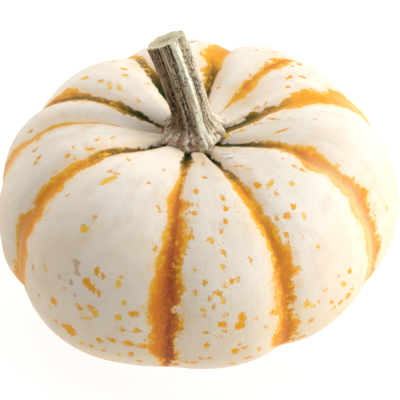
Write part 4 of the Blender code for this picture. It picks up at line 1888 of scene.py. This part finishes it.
    def mark(self, mesh: bpy.types.Mesh, shares: np.ndarray) -> None:
        """Put on the mesh what its material reads.

        Args:
            mesh: The stem's mesh.
            shares: Shares of the height of the rings of the side.
        """
        share = np.concatenate([np.ones(self.cut_rings), shares, np.zeros(self.seat_rings)])[:, None]
        cut = (np.arange(len(share)) < self.cut_rings)[:, None]
        ridge = self.relief(self.azimuths) / self.highest
        ridge = np.clip(ridge + self.cords(self.azimuths[None, :], share) * self.cord_shade, 0, 1)
        # How far each column faces the left, where the stem is painted in shade
        side = 0.5 - 0.5 * np.sin(np.radians(self.azimuths + self.shade_side_turn))
        turn = np.radians(self.azimuths)
        around = self.shaft_low * np.stack([np.sin(turn), -np.cos(turn), 0 * turn], axis=-1)
        run = around[None] + share[..., None] * np.array([0, 0, self.height * self.fibre_draw])
        blank = np.ones((len(share), self.columns))
        for name, values, first, last in (
            ("share", blank * share, 1.0, 0.0),
            ("cut", blank * cut, 1.0, 0.0),
            ("ridge", ridge, 0.5, 0.5),
            ("side", blank * side[None, :], 0.5, 0.5),
        ):
            put(mesh, name, np.concatenate([[first], values.ravel(), [last]]))
        put(mesh, "run", np.concatenate([np.zeros((1, 3)), run.reshape(-1, 3), np.zeros((1, 3))]))

    def join(self, name: str, points: np.ndarray, rows: int, finish: bpy.types.Material) -> bpy.types.Object:
        """Join rings of points into a closed piece.

        Args:
            name: Name of the piece.
            points: The top point, the rings from the top down, and the bottom point.
            rows: How many rings there are.
            finish: Its material.

        Returns:
            The piece.
        """
        count = self.columns
        ids = 1 + np.arange(rows * count).reshape(rows, count)
        beside = np.roll(ids, -1, axis=1)
        quads = np.stack([ids[:-1], ids[1:], beside[1:], beside[:-1]], axis=-1).reshape(-1, 4)
        caps = [(0, int(a), int(b)) for a, b in zip(ids[0], beside[0])]
        caps += [(len(points) - 1, int(b), int(a)) for a, b in zip(ids[-1], beside[-1])]
        mesh = bpy.data.meshes.new(name)
        mesh.from_pydata(points.tolist(), [], quads.tolist() + caps)
        mesh.materials.append(finish)
        mesh.validate()
        mesh.shade_smooth()
        piece = bpy.data.objects.new(name, mesh)
        bpy.context.scene.collection.objects.link(piece)
        return piece


@dataclass(frozen=True)
class Lamp:
    """A square soft lamp that looks at the fruit, with angles in degrees and sizes in metres."""

    name: str
    azimuth: float
    elevation: float
    side: float
    watts: float
    tint: tuple[float, float, float] = (1.0, 1.0, 1.0)
    distance: float = 0.9

    def build(self, target: Vector) -> bpy.types.Object:
        """Hang the lamp.

        Args:
            target: What it looks at.

        Returns:
            The lamp.
        """
        data = bpy.data.lights.new(self.name, "AREA")
        data.size = self.side
        data.energy = self.watts
        data.color = self.tint
        lamp = bpy.data.objects.new(self.name, data)
        turn, tip = math.radians(self.azimuth), math.radians(self.elevation)
        away = Vector((math.sin(turn) * math.cos(tip), -math.cos(turn) * math.cos(tip), math.sin(tip)))
        lamp.location = target + away * self.distance
        lamp.rotation_euler = (-away).to_track_quat("-Z", "Y").to_euler()
        bpy.context.scene.collection.objects.link(lamp)
        return lamp


@dataclass
class Studio:
    """Pale floor and soft lamps in a dark room."""

    floor_radius: float = 3.0
    floor_drop: float = 0.00005
    cove_radius: float = 0.6
    cove_steps: int = 8
    floor_sides: int = 48
    lamps: tuple[Lamp, ...] = (
        Lamp("right_lamp", azimuth=84, elevation=24, side=0.6, watts=6.4),
        Lamp("top_lamp", azimuth=170, elevation=82, side=0.7, watts=4.0, tint=(0.92, 0.95, 1.0)),
        Lamp("left_lamp", azimuth=243, elevation=38, side=0.6, watts=1.7, tint=(1.0, 0.8, 0.58)),
        Lamp("back_lamp", azimuth=195, elevation=25, side=0.6, watts=2.9, tint=(0.9, 0.96, 1.0)),
    )

    def build(self, target: Vector) -> bpy.types.Object:
        """Set the stage.

        Args:
            target: What the lamps look at.

        Returns:
            The floor.
        """
        scene = bpy.context.scene
        room = bpy.data.worlds.new("dark_room")
        room.use_nodes = True
        room.node_tree.nodes["Background"].inputs["Strength"].default_value = 0.0
        scene.world = room
        scene.view_settings.view_transform = "Standard"
        for lamp in self.lamps:
            lamp.build(target)
        floor = self.floor()
        scene.collection.objects.link(floor)
        return floor

    def floor(self) -> bpy.types.Object:
        """Lay a round sheet of paper that curves up at its edge.

        Returns:
            The sheet.
        """
        sides = self.floor_sides
        turns = np.linspace(0, math.tau, sides, endpoint=False)
        points = []
        for bend in np.linspace(0, math.pi / 2, self.cove_steps + 1):
            reach = self.floor_radius + self.cove_radius * math.sin(bend)
            lift = self.cove_radius * (1 - math.cos(bend)) - self.floor_drop
            points += [(reach * math.cos(turn), reach * math.sin(turn), lift) for turn in turns]
        faces = [tuple(range(sides))]
        for low in range(0, self.cove_steps * sides, sides):
            high = low + sides
            for side in range(sides):
                beside = (side + 1) % sides
                faces.append((high + side, high + beside, low + beside, low + side))
        mesh = bpy.data.meshes.new("pale_floor")
        mesh.from_pydata(points, [], faces)
        mesh.materials.append(FloorFinish().material())
        return bpy.data.objects.new("pale_floor", mesh)


def settle(piece: bpy.types.Object, node: str) -> None:
    """Hand a finished piece to the frame.

    Args:
        piece: The piece.
        node: The node that it stands for.
    """
    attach(piece, "root")
    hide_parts(node)
    log.info("%s: %d faces, stands for %s", piece.name, len(piece.data.polygons), node)


def main() -> None:
    """Build the fruit, its stem and the studio, and hand them over."""
    logging.basicConfig(level=logging.INFO, format="%(name)s: %(message)s")
    view = Viewpoint()
    rind = Rind()
    skin = rind.build(RindFinish().material())
    log.info("%d flecks marked", Markings(rind, skin, view).build())
    settle(skin.piece, "fruit")
    settle(Stem(skin).build(StemFinish().material()), "stem")
    Studio().build(skin.heart)
    view.build(skin.heart)


if __name__ == "__main__":
    main()
